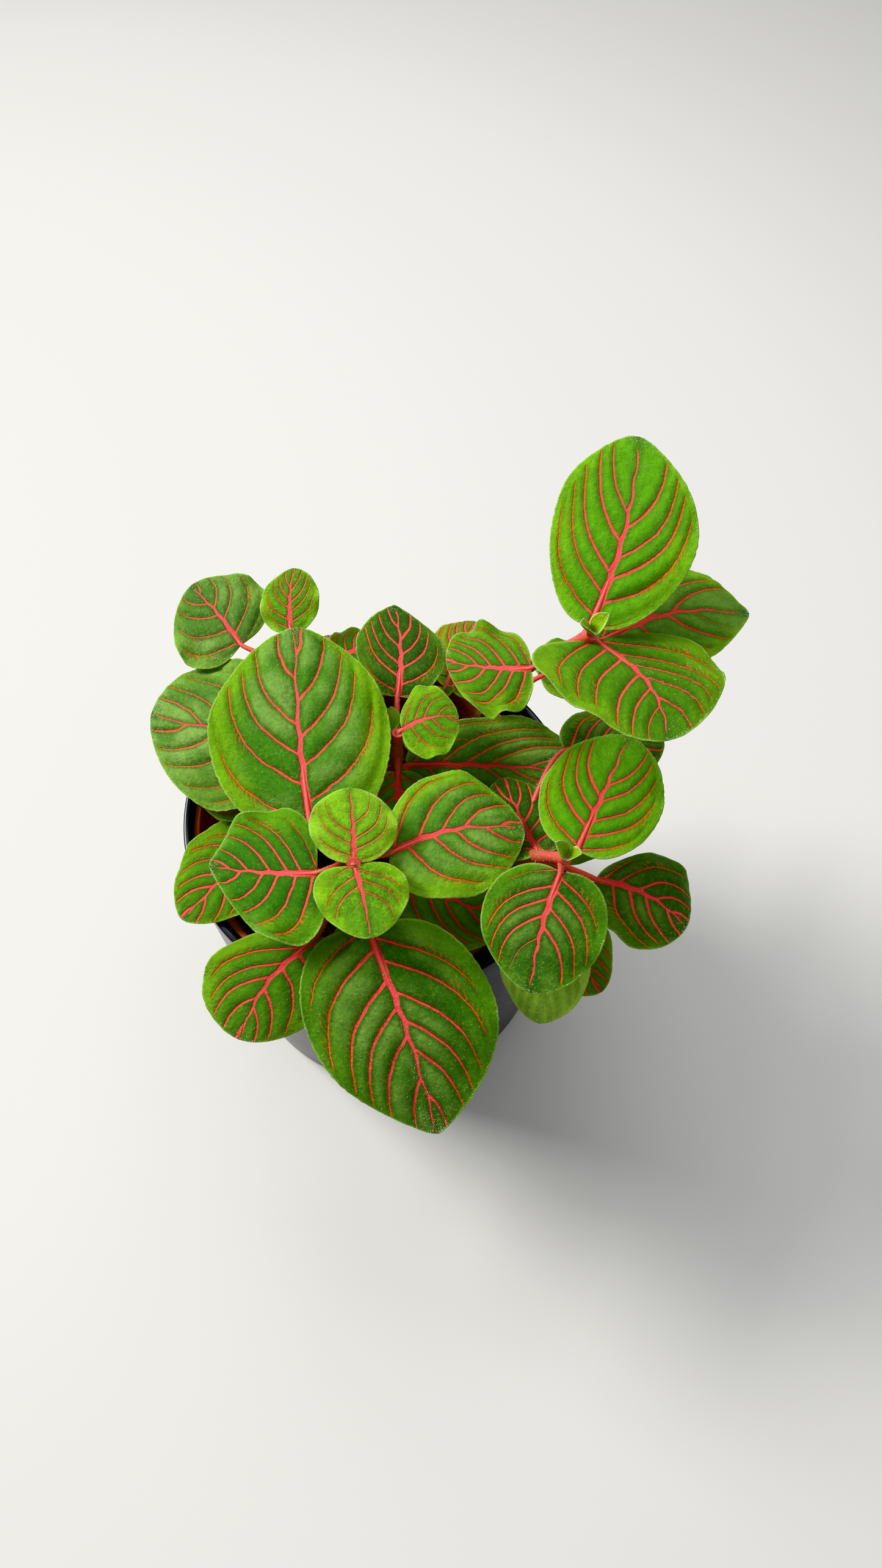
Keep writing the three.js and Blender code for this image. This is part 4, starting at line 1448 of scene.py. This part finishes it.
@dataclass
class Stem:
    """A leafy stem: its line from the soil to its top, and its pairs of leaves."""

    name: str
    foot: tuple[float, float]
    top: tuple[float, float, float]
    radius: float
    pairs: Sequence[tuple[float, Sequence[Leaf]]]
    seed: int = 1
    soil_level: float = 76.0
    lean_start: float = 79.0
    foot_height: float = 62.0
    taper: float = 0.42
    swelling: float = 0.35
    tube_sides: int = 12
    tube_steps: int = 60
    stalk_radius: float = 0.45
    stalk_growth: float = 0.013
    stalk_steps: int = 14
    stalk_end: float = 0.3
    stem_blush: float = 0.7
    stalk_blush: float = 0.45
    hair_spacing: float = 0.22
    hair_radius: float = 0.05
    hair_spread: float = 0.3
    stem_hair_length: Range = (0.5, 0.9)
    stalk_hair_length: Range = (0.45, 0.8)

    def middle(self, height: float) -> Array:
        """The stem's middle at a height."""
        lean = (max(height - self.lean_start, 0.0) / (self.top[2] - self.lean_start)) ** 1.7
        x = self.foot[0] + (self.top[0] - self.foot[0]) * lean
        y = self.foot[1] + (self.top[1] - self.foot[1]) * lean
        return np.array([x, y, height])

    def thickness(self, height: float) -> float:
        """The stem's radius at a height, swollen at each pair of leaves."""
        share = max(height - self.soil_level, 0.0) / (self.top[2] - self.soil_level)
        near = min(abs(pair_height - height) for pair_height, _ in self.pairs)
        return self.radius * (1 - self.taper * share) + self.swelling * math.exp(-(near**2) / 3)

    def base(self, height: float, leaf: Leaf) -> Array:
        """Where a leaf's blade starts."""
        return self.middle(height) + leaf.way() * leaf.stalk

    def wood(self, tubes: Maker, material: Material) -> bpy.types.Object:
        """Makes the stem and its leaf stalks.

        Args:
            tubes: The tree that runs tubes along paths.
            material: Their material.

        Returns:
            The piece.
        """
        points: list[Array] = []
        edges: list[tuple[int, int]] = []
        thick: list[float] = []
        shares: list[float] = []

        def path(places: Sequence[Array], radii: Sequence[float], along: Sequence[float]) -> None:
            """Adds a chain of points with their radii and their shares of the stalks' colour."""
            first = len(points)
            points.extend(places)
            thick.extend(np.array(radii) * MM)
            shares.extend(along)
            edges.extend((first + k, first + k + 1) for k in range(len(places) - 1))

        heights = np.linspace(self.foot_height, self.top[2], self.tube_steps)
        climb = np.clip((heights - self.soil_level) / (self.top[2] - self.soil_level), 0, 1)
        blush = climb**3 * self.stem_blush
        path([self.middle(h) for h in heights], [self.thickness(h) for h in heights], blush)
        for height, leaves in self.pairs:
            for leaf in leaves:
                places, radii = self.stalk_path(height, leaf)
                path(places, radii, np.linspace(self.stalk_blush, 1.0, len(places)))
        roots = carrier(f"{self.name}_paths", np.array(points), edges)
        add_values(roots, "thick", np.array(thick))
        add_values(roots, "stalk_share", np.array(shares))
        return tubes.run(roots, f"{self.name}_wood", Sides=self.tube_sides, Material=material)

    def stalk_path(self, height: float, leaf: Leaf) -> tuple[list[Array], list[float]]:
        """The curve of a leaf's stalk, from inside the stem to well under the blade.

        Args:
            height: Where it leaves the stem.
            leaf: The leaf.

        Returns:
            Places and radii along it.
        """
        start = self.middle(height)
        first, along, up = leaf.lay(self.base(height, leaf), np.array([0.01]), np.array([0.0]))
        end = first[0] - up[0] * 0.35
        pull = max(leaf.stalk, 1.0)
        radius = self.stalk_radius + self.stalk_growth * leaf.length
        places: list[Array] = []
        radii: list[float] = []
        for s in np.linspace(0, 1, self.stalk_steps):
            a, b = 2 * s**3 - 3 * s**2 + 1, s**3 - 2 * s**2 + s
            c, d = -2 * s**3 + 3 * s**2, s**3 - s**2
            places.append(a * start + b * leaf.way() * pull + c * end + d * along[0] * pull * 0.5)
            radii.append(radius * (1.25 - 0.45 * s + 0.25 * math.exp(-((s / 0.12) ** 2))))
        under = np.linspace(0.04, self.stalk_end, 6)
        laid, _, ups = leaf.lay(self.base(height, leaf), under, np.zeros(6))
        for spot, way, share in zip(laid, ups, under):
            places.append(spot - way * 0.42)
            radii.append(radius * (0.72 - 0.5 * (share / self.stalk_end)))
        return places, radii

    def stem_hairs(self, blades: BladeMesh, draw: np.random.RandomState) -> None:
        """Sets hair roots on the stem and its stalks."""
        for height in np.arange(self.soil_level + 2, self.top[2], self.hair_spacing):
            angle = draw.uniform(0, 2 * math.pi)
            out = np.array([math.cos(angle), math.sin(angle), draw.uniform(-0.1, 0.3)])
            spot = self.middle(height) + out * (self.thickness(height) - 0.05)
            blades.keep_hairs(spot[None], unit(out)[None], draw.uniform(*self.stem_hair_length, 1))
        for height, leaves in self.pairs:
            for leaf in leaves:
                places, radii = self.stalk_path(height, leaf)
                for k in range(2, self.stalk_steps):
                    way = unit(places[k] - places[k - 1])
                    for _ in range(max(1, int(leaf.stalk / 3))):
                        out = unit(np.cross(way, draw.normal(size=3)))
                        mix = draw.rand()
                        spot = places[k] * mix + places[k - 1] * (1 - mix) + out * (radii[k] - 0.05)
                        blades.keep_hairs(spot[None], out[None], draw.uniform(*self.stalk_hair_length, 1))

    def make(self, tubes: Maker, hairs: Maker, blade: Material, stalk: Material, hair: Material) -> None:
        """Makes the stem's three pieces: blades, stalks and hairs.

        Args:
            tubes: The tree that runs tubes along paths.
            hairs: The tree that sets hairs on points.
            blade: The blades' material.
            stalk: The stalks' material.
            hair: The hairs' material.
        """
        blades = BladeMesh()
        number = self.seed * 100
        for height, leaves in self.pairs:
            for leaf in leaves:
                number += 1
                blades.add(leaf, self.base(height, leaf), number)
        seat(blades.build(f"{self.name}_blades"), blade, Slot.FOLIAGE, self.name)
        seat(self.wood(tubes, stalk), stalk, Slot.FOLIAGE, self.name)
        self.stem_hairs(blades, np.random.RandomState(self.seed))
        roots = blades.hair_roots(f"{self.name}_hair_roots")
        looks = dict(Radius=self.hair_radius * MM, Spread=self.hair_spread, Seed=self.seed, Material=hair)
        tufts = hairs.run(roots, f"{self.name}_hairs", **looks)
        seat(tufts, hair, Slot.FOLIAGE)


STEMS = [
    Stem("centre_stem", (-4, -12), (-3.5, -29, 120), 2.1, [
        (119.5, [
            Leaf(
                91.5, 16.7, 19.5, stalk=0.5, rise=40, turn=-1, pitch=22, sweep=8, cup=-1.6, waist=1.0,
                point=0, phase=1, age=0.35, tone=Tone.YOUNG, veins=5.0, last=0.5,
            ),
            Leaf(
                -81, 16.8, 20.5, stalk=0.5, rise=20, pitch=5, sweep=9, bow=0.7, cup=-1.6, waist=0.65,
                phase=2, age=0.35, tone=Tone.LIME, veins=5.0, last=0.5,
            ),
        ]),
        (114, [
            Leaf(
                -152.5, 24, 33.5, stalk=9.5, rise=14, turn=-18, sweep=-35, bow=-0.8, waist=0.67, point=0.6,
                wave=2.2, waves=2, phase=0.6, tone=Tone.GLOSSY, veins=5.6,
            ),
            Leaf(
                5, 31.5, 32, stalk=7.8, rise=14, turn=4.5, pitch=3, sweep=9.5, bow=3.1, cup=-2, waist=0.98,
                point=0.3, phase=3, tone=Tone.PLUSH, veins=5.0,
            ),
        ]),
        (107, [
            Leaf(
                152.5, 51.5, 43, stalk=12.5, rise=14, turn=-57, pitch=17, bend=16, sweep=2, bow=1.1,
                cup=-2, waist=0.93, point=0.24, phase=4, veins=5.6, tone=Tone.VELVET,
            ),
            Leaf(
                -80.5, 46.5, 41.5, stalk=19.5, rise=8, turn=3.5, pitch=-11, bend=24, sweep=14.5, bow=2.2,
                cup=-2, waist=0.81, point=0.55, phase=5, veins=6.3, tone=Tone.DEEP,
            ),
        ]),
        (97, [
            Leaf(
                -111, 27.5, 30, stalk=24.5, rise=12, turn=1.5, pitch=-9, bend=22, sweep=-39.5, bow=-5,
                cup=-2, waist=0.94, point=0, phase=2, age=1.0, tone=Tone.GRASS,
            ),
            Leaf(-44, 29, 26, stalk=12, rise=20, turn=28, pitch=-6, phase=1, age=1.0, tone=Tone.GRASS),
        ]),
        (90, [Leaf(-80, 27, 24, stalk=20, rise=25, pitch=-6, bend=30, phase=1)]),
    ], 1),
    Stem("left_stem", (-22, -4), (-27, -12, 95), 1.6, [
        (95, bud(150, 3.6)),
        (91.5, [
            Leaf(
                -120, 27.5, 28, stalk=2, rise=20, turn=-6, pitch=10, bend=24, sweep=-19, bow=-2, waist=0.5,
                point=0.17, phase=2, age=0.6, tone=Tone.GRASS,
            ),
            Leaf(45, 15, 13, stalk=4, rise=6, pitch=-4, phase=4),
        ]),
        (88, [Leaf(139, 21, 18, stalk=10, rise=48, pitch=7, bend=26, phase=5)]),
    ], 2),
    Stem("right_stem", (27, -14), (42.5, -28, 121), 1.9, [
        (121, bud(155, 5.5)),
        (119.5, [
            Leaf(
                21, 31, 27, stalk=3.8, rise=22, turn=46.5, pitch=8, bend=12, sweep=-5.5, bow=-0.4,
                cup=-1.5, waist=0.93, point=0, phase=1, age=0.5, veins=6.2, tone=Tone.BRIGHT, last=0.55,
            ),
            Leaf(
                -95, 27, 27.5, stalk=3, rise=-15, turn=-13, pitch=-12, sweep=3, bow=-0.8, cup=-1.5,
                waist=0.83, point=0.14, phase=5, age=0.5, veins=6.2, tone=Tone.DEEP, last=0.55,
            ),
        ]),
        (113, [Leaf(106, 28, 20, stalk=2, rise=-40, pitch=-30, bend=-16, phase=3, age=1.0, tone=Tone.SHADE)]),
        (110.5, [
            Leaf(
                -23, 23.5, 24, stalk=14.6, rise=0, turn=-8.5, pitch=-4, bend=26, sweep=16, bow=2.8, cup=-2,
                waist=1.2, point=0, phase=2, age=0.9, tone=Tone.SHADE, veins=5.0,
            ),
        ]),
        (91, [
            Leaf(28, 25, 21, stalk=11, rise=18, pitch=-1, bend=28, phase=2),
            Leaf(-52, 25, 21, stalk=15, rise=4, pitch=4, bend=30, phase=3),
        ]),
        (100, [Leaf(62.5, 26, 22, stalk=30, rise=11.5, turn=-49.5, pitch=0, phase=4, tone=Tone.SHADE)]),
        (105, [
            Leaf(
                -70, 25.5, 20.5, stalk=15, rise=0, turn=-29.5, pitch=-22, bend=24, sweep=10, bow=0.9,
                waist=0.9, point=0.17, phase=0, age=0.1, tone=Tone.LIT_PALE,
            ),
        ]),
    ], 3),
    Stem("tall_stem", (23.5, 25.5), (47.5, 13, 146), 1.8, [
        (146, bud(20, 6)),
        (144, [
            Leaf(
                60, 42.5, 32, stalk=3, rise=32, turn=10, pitch=32, bend=14, sweep=7, bow=-1.4, waist=1.08,
                point=0.3, phase=2, age=0.5, veins=6.5, tone=Tone.BRIGHT, last=0.6,
            ),
            Leaf(
                -8, 29.5, 39, stalk=2.4, rise=-6, turn=-64.5, pitch=13, bend=14, roll=-10, sweep=17, bow=5,
                waist=0.6, point=0.06, phase=4, age=0.5, veins=6.2, tone=Tone.GRASS, last=0.7,
            ),
        ]),
        (135, [
            Leaf(
                12.5, 36.5, 30, stalk=9.3, rise=5, turn=-9, pitch=5, sweep=23.5, bow=5, waist=0.83,
                point=0.57, phase=0, veins=5.6, tone=Tone.PLUSH, last=0.6,
            ),
            Leaf(
                -149, 19.5, 25, stalk=7, rise=-10, turn=-27, pitch=-6, bend=24, sweep=-42, bow=-0.5,
                waist=0.92, point=0, wave=2.2, phase=1, tone=Tone.GRASS,
            ),
        ]),
        (114, [
            Leaf(130, 12, 12, stalk=5, rise=-10, pitch=-12, phase=5),
        ]),
        (92, [
            Leaf(-106, 16, 13, stalk=2.5, rise=0, pitch=-12, phase=3),
            Leaf(34, 25, 21, stalk=20, rise=12, turn=-12, pitch=-2, bend=32, phase=1),
        ]),
    ], 4),
    Stem("middle_stem", (4, 6), (5, 9.5, 111), 1.9, [
        (110.5, [
            Leaf(
                35, 14, 20.5, stalk=1.6, rise=40, turn=-26, pitch=18, bend=14, bow=1.3, cup=-1.5,
                waist=0.98, point=0, phase=1, age=0.4, tone=Tone.LIME, veins=4.6,
            ),
            Leaf(150, 14, 15, stalk=1.5, rise=-10, pitch=-20, phase=3, age=0.4),
        ]),
        (104, [
            Leaf(
                90.5, 25, 23, stalk=15.5, rise=4, turn=-9, pitch=16, bend=14, sweep=22, waist=1.05,
                point=0.63, phase=5, tone=Tone.SHADE, last=0.75,
            ),
            Leaf(-88, 20, 18, stalk=5, rise=-20, pitch=-14, phase=2),
        ]),
        (95, [
            Leaf(
                40, 46, 27, stalk=3.5, rise=14, turn=-42, pitch=8, bend=20, cup=2, waist=1.1, point=0.3,
                phase=3, age=1.0, veins=6.0, tone=Tone.GREY_SHEEN, last=0.8,
            ),
            Leaf(
                157.5, 42, 43.5, stalk=24, rise=18, turn=20.5, pitch=3, sweep=-14, bow=1.6, cup=-2,
                waist=0.97, point=0, phase=1, age=0.45, veins=5.2, tone=Tone.GREY_SHEEN,
            ),
        ]),
    ], 5),
    Stem("back_left_stem", (-6, 22), (-23.5, 42.5, 106), 1.7, [
        (105, [
            Leaf(
                114, 17, 15.3, stalk=2, rise=30, turn=-17, pitch=24, bend=14, sweep=-15, waist=0.93,
                point=0.05, phase=1, age=0.4, tone=Tone.LIME,
            ),
            Leaf(-92, 10, 10, stalk=1.5, rise=0, pitch=-4, phase=3, age=0.4),
        ]),
        (100, [
            Leaf(
                161, 21.5, 30, stalk=20, rise=4, turn=-19, pitch=17, bend=14, sweep=-21, bow=-1.5,
                cup=-1.5, waist=0.79, point=0.14, phase=5, age=0.45, veins=4.4, tone=Tone.GREY_SHEEN,
            ),
            Leaf(30, 15, 16, stalk=7, rise=-4, turn=10, pitch=-6, phase=2),
        ]),
        (93, [
            Leaf(-125, 18, 14, stalk=5, rise=-20, pitch=-14, phase=1),
            Leaf(44, 21, 19, stalk=9, rise=12, pitch=2, bend=24, phase=4),
        ]),
        (88, [
            Leaf(176, 22, 19, stalk=16, rise=30, pitch=2, bend=30, phase=2),
            Leaf(104, 24, 21, stalk=12, rise=42, pitch=-6, bend=32, phase=4),
        ]),
    ], 6),
    Stem("back_stem", (10, 25), (16, 30, 94), 1.6, [
        (94, bud(0, 5)),
        (92, [
            Leaf(70, 20, 19, stalk=9, rise=16, pitch=4, phase=1, tone=Tone.OLIVE),
            Leaf(-128, 12, 11, stalk=2, rise=-10, pitch=-14, phase=3),
        ]),
        (88, [
            Leaf(50, 21, 18, stalk=10, rise=36, pitch=4, bend=30, phase=5),
        ]),
    ], 7),
]


# ---------------------------------------------------------------- pots and soil


@dataclass(frozen=True)
class CoverPot:
    """The glazed pot round the outside, with a rounded rim and a foot ring."""

    height: float = 90.0
    rim: float = 49.0
    base: float = 45.5
    wall: float = 1.8
    floor: float = 2.4
    edge: float = 1.6
    foot_width: float = 5.8
    foot_height: float = 0.7
    spacing: float = 8.0
    segments: int = 192

    def make(self) -> None:
        """Makes the pot."""
        inner_rim, inner_base = self.rim - self.wall, self.base - self.wall
        foot = self.base - self.foot_width
        section = rounded([
            (0, self.foot_height, 0), (foot - 0.7, self.foot_height, 0.3), (foot, 0, 0.4),
            (self.base, 0, self.edge), (self.rim, self.height, self.wall / 2),
            (inner_rim, self.height, self.wall / 2), (inner_base, self.floor, self.edge * 2),
            (0, self.floor, 0),
        ], 9)
        pot = add_mesh("cover_pot_glazed", *turned_mesh(self.subdivide(section), self.segments))
        seat(pot, GlazeFinish("cover_glaze").make(), Slot.COVER, "cover_pot")

    def subdivide(self, section: Sequence[tuple[float, float]]) -> list[tuple[float, float]]:
        """Adds points along the straight walls, so that they shade evenly."""
        result = [section[0]]
        for before, after in zip(section, section[1:]):
            wide, tall = after[0] - before[0], after[1] - before[1]
            steps = max(1, round(math.hypot(wide, tall) / self.spacing))
            for share in (k / steps for k in range(1, steps + 1)):
                result.append((before[0] + wide * share, before[1] + tall * share))
        return result


@dataclass(frozen=True)
class NurseryPot:
    """The thin plastic pot inside, with a collar and a rolled lip."""

    middle: Range = (-2.0, -0.4)
    bottom: float = 2.7
    top: float = 87.4
    lip: float = 44.6
    neck: float = 42.6
    base: float = 33.0
    wall: float = 1.1
    collar: float = 9.0
    segments: int = 192

    def make(self) -> None:
        """Makes the pot."""
        low = self.top - self.collar
        section = rounded([
            (0, self.bottom, 0), (self.base, self.bottom, 1.2), (self.neck, low - 1, 0.5),
            (self.lip - 0.8, low, 0.4), (self.lip - 0.4, self.top - 1.4, 0.3),
            (self.lip, self.top - 1.1, 0.3), (self.lip, self.top, 0.45),
            (self.lip - self.wall - 0.3, self.top, 0.45), (self.lip - self.wall - 0.9, low + 1, 0.4),
            (self.neck - self.wall, low - 0.6, 0.4), (self.base - self.wall, self.bottom + self.wall, 0.8),
            (0, self.bottom + self.wall, 0),
        ], 6)
        points, faces = turned_mesh(section, self.segments)
        points[:, :2] += self.middle
        pot = add_mesh("nursery_pot_shell", points, faces)
        seat(pot, TerracottaFinish("terracotta_plastic").make(), Slot.NURSERY, "nursery_pot")


@dataclass(frozen=True)
class Soil:
    """The peat: an uneven mound with crumbs, bark and a little perlite."""

    middle: Range = (-2.0, -0.4)
    level: float = 76.0
    radius: float = 40.0
    bottom: float = 4.4
    bottom_radius: float = 31.2
    rings: int = 90
    segments: int = 260
    lumps: tuple[tuple[float, float], ...] = ((22, 0.7), (9, 0.45), (4.3, 0.3), (2.1, 0.22), (1.1, 0.14))
    waves: int = 4
    dome: float = 0.8
    edge_drop: float = 1.0
    bare_rim: float = 1.2
    crumb_depth: float = 0.1
    seed: int = 11

    def height(self, x: Array, y: Array) -> Array:
        """The mound's height at a place.

        Args:
            x: Distances to the right of the middle.
            y: Distances back from it.

        Returns:
            Heights in millimetres.
        """
        draw = np.random.RandomState(self.seed)
        share = np.hypot(x, y) / self.radius
        height = self.level + self.dome * (1 - share**2) - self.edge_drop * smooth(share, 0.85, 1.0)
        for size, depth in self.lumps:
            for _ in range(self.waves):
                angle, shift = draw.uniform(0, 2 * math.pi, 2)
                along = x * math.cos(angle) + y * math.sin(angle)
                across = x * math.sin(angle) - y * math.cos(angle)
                bent = 0.35 * size * np.sin(across / size * 3.1 + shift)
                height += depth / 2 * np.sin(2 * math.pi * (along + bent) / size + shift)
        return height

    def disc(self, radius: float, rings: int, segments: int) -> tuple[Array, list[list[int]]]:
        """The mound's top.

        Args:
            radius: How far it goes.
            rings: How many rings of points it has round its middle.
            segments: How many points each ring has.

        Returns:
            Points, from the pot's middle, and faces.
        """
        angles = np.arange(segments) * 2 * math.pi / segments
        flat = [np.zeros((1, 2))]
        for ring in range(1, rings + 1):
            reach = radius * ring / rings
            flat.append(np.stack([reach * np.cos(angles), reach * np.sin(angles)], -1))
        places = np.concatenate(flat)
        faces = [[0, 1 + k, 1 + (k + 1) % segments] for k in range(segments)]
        for ring in range(rings - 1):
            faces += band(1 + ring * segments, 1 + (ring + 1) * segments, segments)
        return np.column_stack([places, self.height(places[:, 0], places[:, 1])]), faces

    def make(self) -> None:
        """Makes the mound and what lies on it."""
        points, faces = self.disc(self.radius, self.rings, self.segments)
        angles = np.arange(self.segments) * 2 * math.pi / self.segments
        low = np.stack([np.cos(angles) * self.bottom_radius, np.sin(angles) * self.bottom_radius], -1)
        low = np.column_stack([low, np.full(self.segments, self.bottom)])
        last = len(points)
        faces += band(last - self.segments, last, self.segments)
        end = last + self.segments
        faces += [[last + k, end, last + (k + 1) % self.segments] for k in range(self.segments)]
        places = np.concatenate([points, low, [[0.0, 0.0, self.bottom]]])
        places[:, :2] += self.middle
        seat(add_mesh("soil_mound", places, faces), PeatFinish("damp_peat").make(), Slot.SOIL, "soil")
        bark = CrumbFinish("bark_crumbs").make()
        self.scatter("peat_crumbs", density=90000.0, size=1.5, seed=3, material=bark)
        pale = CrumbFinish("perlite", colour(206, 202, 192), colour(238, 236, 228), roughness=0.8)
        self.scatter("perlite_grains", density=2200.0, size=1.7, seed=5, material=pale.make())

    def scatter(self, name: str, density: float, size: float, seed: int, material: Material) -> None:
        """Scatters crumbs over the mound.

        Args:
            name: The piece's name.
            density: Crumbs per square metre.
            size: Their size in millimetres.
            seed: The scatter's seed.
            material: Their material.
        """
        points, faces = self.disc(self.radius - self.bare_rim, rings=16, segments=48)
        points += (*self.middle, -self.crumb_depth)
        ground = add_mesh(f"{name}_ground", points, faces)
        looks = dict(Density=density, Size=size * MM, Seed=seed, Material=material)
        seat(crumb_maker().run(ground, name, **looks), material, Slot.SOIL)


# ---------------------------------------------------------------- light and camera


@dataclass(frozen=True)
class Lamp:
    """A square soft light that looks at the plant; its place and size are millimetres."""

    name: str
    place: tuple[float, float, float]
    size: float
    watts: float
    tint: tuple[float, float, float] = (1.0, 0.99, 0.96)
    aim_height: float = 90.0

    def make(self) -> None:
        """Adds the light."""
        light = bpy.data.lights.new(self.name, "AREA")
        light.size = self.size * MM
        light.energy = self.watts
        light.color = self.tint
        obj = bpy.data.objects.new(self.name, light)
        obj.location = Vector(self.place) * MM
        aim = Vector((0, 0, self.aim_height)) * MM - obj.location
        obj.rotation_euler = aim.to_track_quat("-Z", "Y").to_euler()
        bpy.context.scene.collection.objects.link(obj)


@dataclass(frozen=True)
class Studio:
    """The pale floor, the soft lights and the camera."""

    camera_place: tuple[float, float, float] = (15.34, -135.11, 351.79)
    look_down: float = 61.5
    focal_pixels: float = 1930.0
    image_height: float = 2569.0
    sensor: float = 36.0
    floor_half: float = 5000.0
    floor_tone: Colour = colour(206, 206, 206)
    floor_roughness: float = 0.6
    room_tone: Colour = (0.96, 0.97, 0.97, 1.0)
    room_light: float = 0.34
    lamps: tuple[Lamp, ...] = (
        Lamp("window", (-460, 190, 520), 260, 7.2, (1.0, 0.98, 0.92)),
        Lamp("overhead", (60, 300, 700), 420, 2.2),
        Lamp("fill", (520, -180, 520), 500, 1.0),
    )

    def floor(self) -> None:
        """Makes the floor."""
        size = self.floor_half
        corners = np.array([[-size, -size, 0], [size, -size, 0], [size, size, 0], [-size, size, 0]])
        floor = add_mesh("floor", corners, [[0, 1, 2, 3]], smooth=False)
        _, material, shader = Finish("pale_floor").start()
        shader.inputs["Base Color"].default_value = self.floor_tone
        shader.inputs["Roughness"].default_value = self.floor_roughness
        floor.data.materials.append(material)

    def camera(self) -> None:
        """Makes the camera that stands as the photograph's did."""
        data = bpy.data.cameras.new("camera")
        data.sensor_fit = "VERTICAL"
        data.sensor_height = self.sensor
        data.lens = self.focal_pixels / self.image_height * self.sensor
        data.clip_start = 0.01
        obj = bpy.data.objects.new("camera", data)
        obj.location = Vector(self.camera_place) * MM
        obj.rotation_euler = Euler((math.radians(90 - self.look_down), 0, 0))
        bpy.context.scene.collection.objects.link(obj)
        bpy.context.scene.camera = obj

    def room(self) -> None:
        """Makes the even light all round."""
        world = bpy.data.worlds.new("pale_room")
        world.use_nodes = True
        background = world.node_tree.nodes["Background"]
        background.inputs["Color"].default_value = self.room_tone
        background.inputs["Strength"].default_value = self.room_light
        bpy.context.scene.world = world

    def make(self) -> None:
        """Builds the whole studio."""
        self.floor()
        self.camera()
        for lamp in self.lamps:
            lamp.make()
        self.room()
        bpy.context.scene.view_settings.view_transform = "Khronos PBR Neutral"


def main() -> None:
    """Builds the plant piece by piece."""
    logging.basicConfig(level=logging.INFO, format="%(name)s: %(message)s", stream=sys.stdout)
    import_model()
    for pattern in (Mottle(), Dust(), VeinPattern(), VeinNet()):
        pattern.make()
    CoverPot().make()
    NurseryPot().make()
    Soil().make()
    blade = BladeFinish("leaf_blade").make()
    stalk = StalkFinish("leaf_stalk").make()
    hair = HairFinish("fine_hair").make()
    tubes, hairs = tube_maker(), hair_maker()
    for stem in STEMS:
        stem.make(tubes, hairs, blade, stalk, hair)
    Studio().make()


if __name__ == "__main__":
    main()
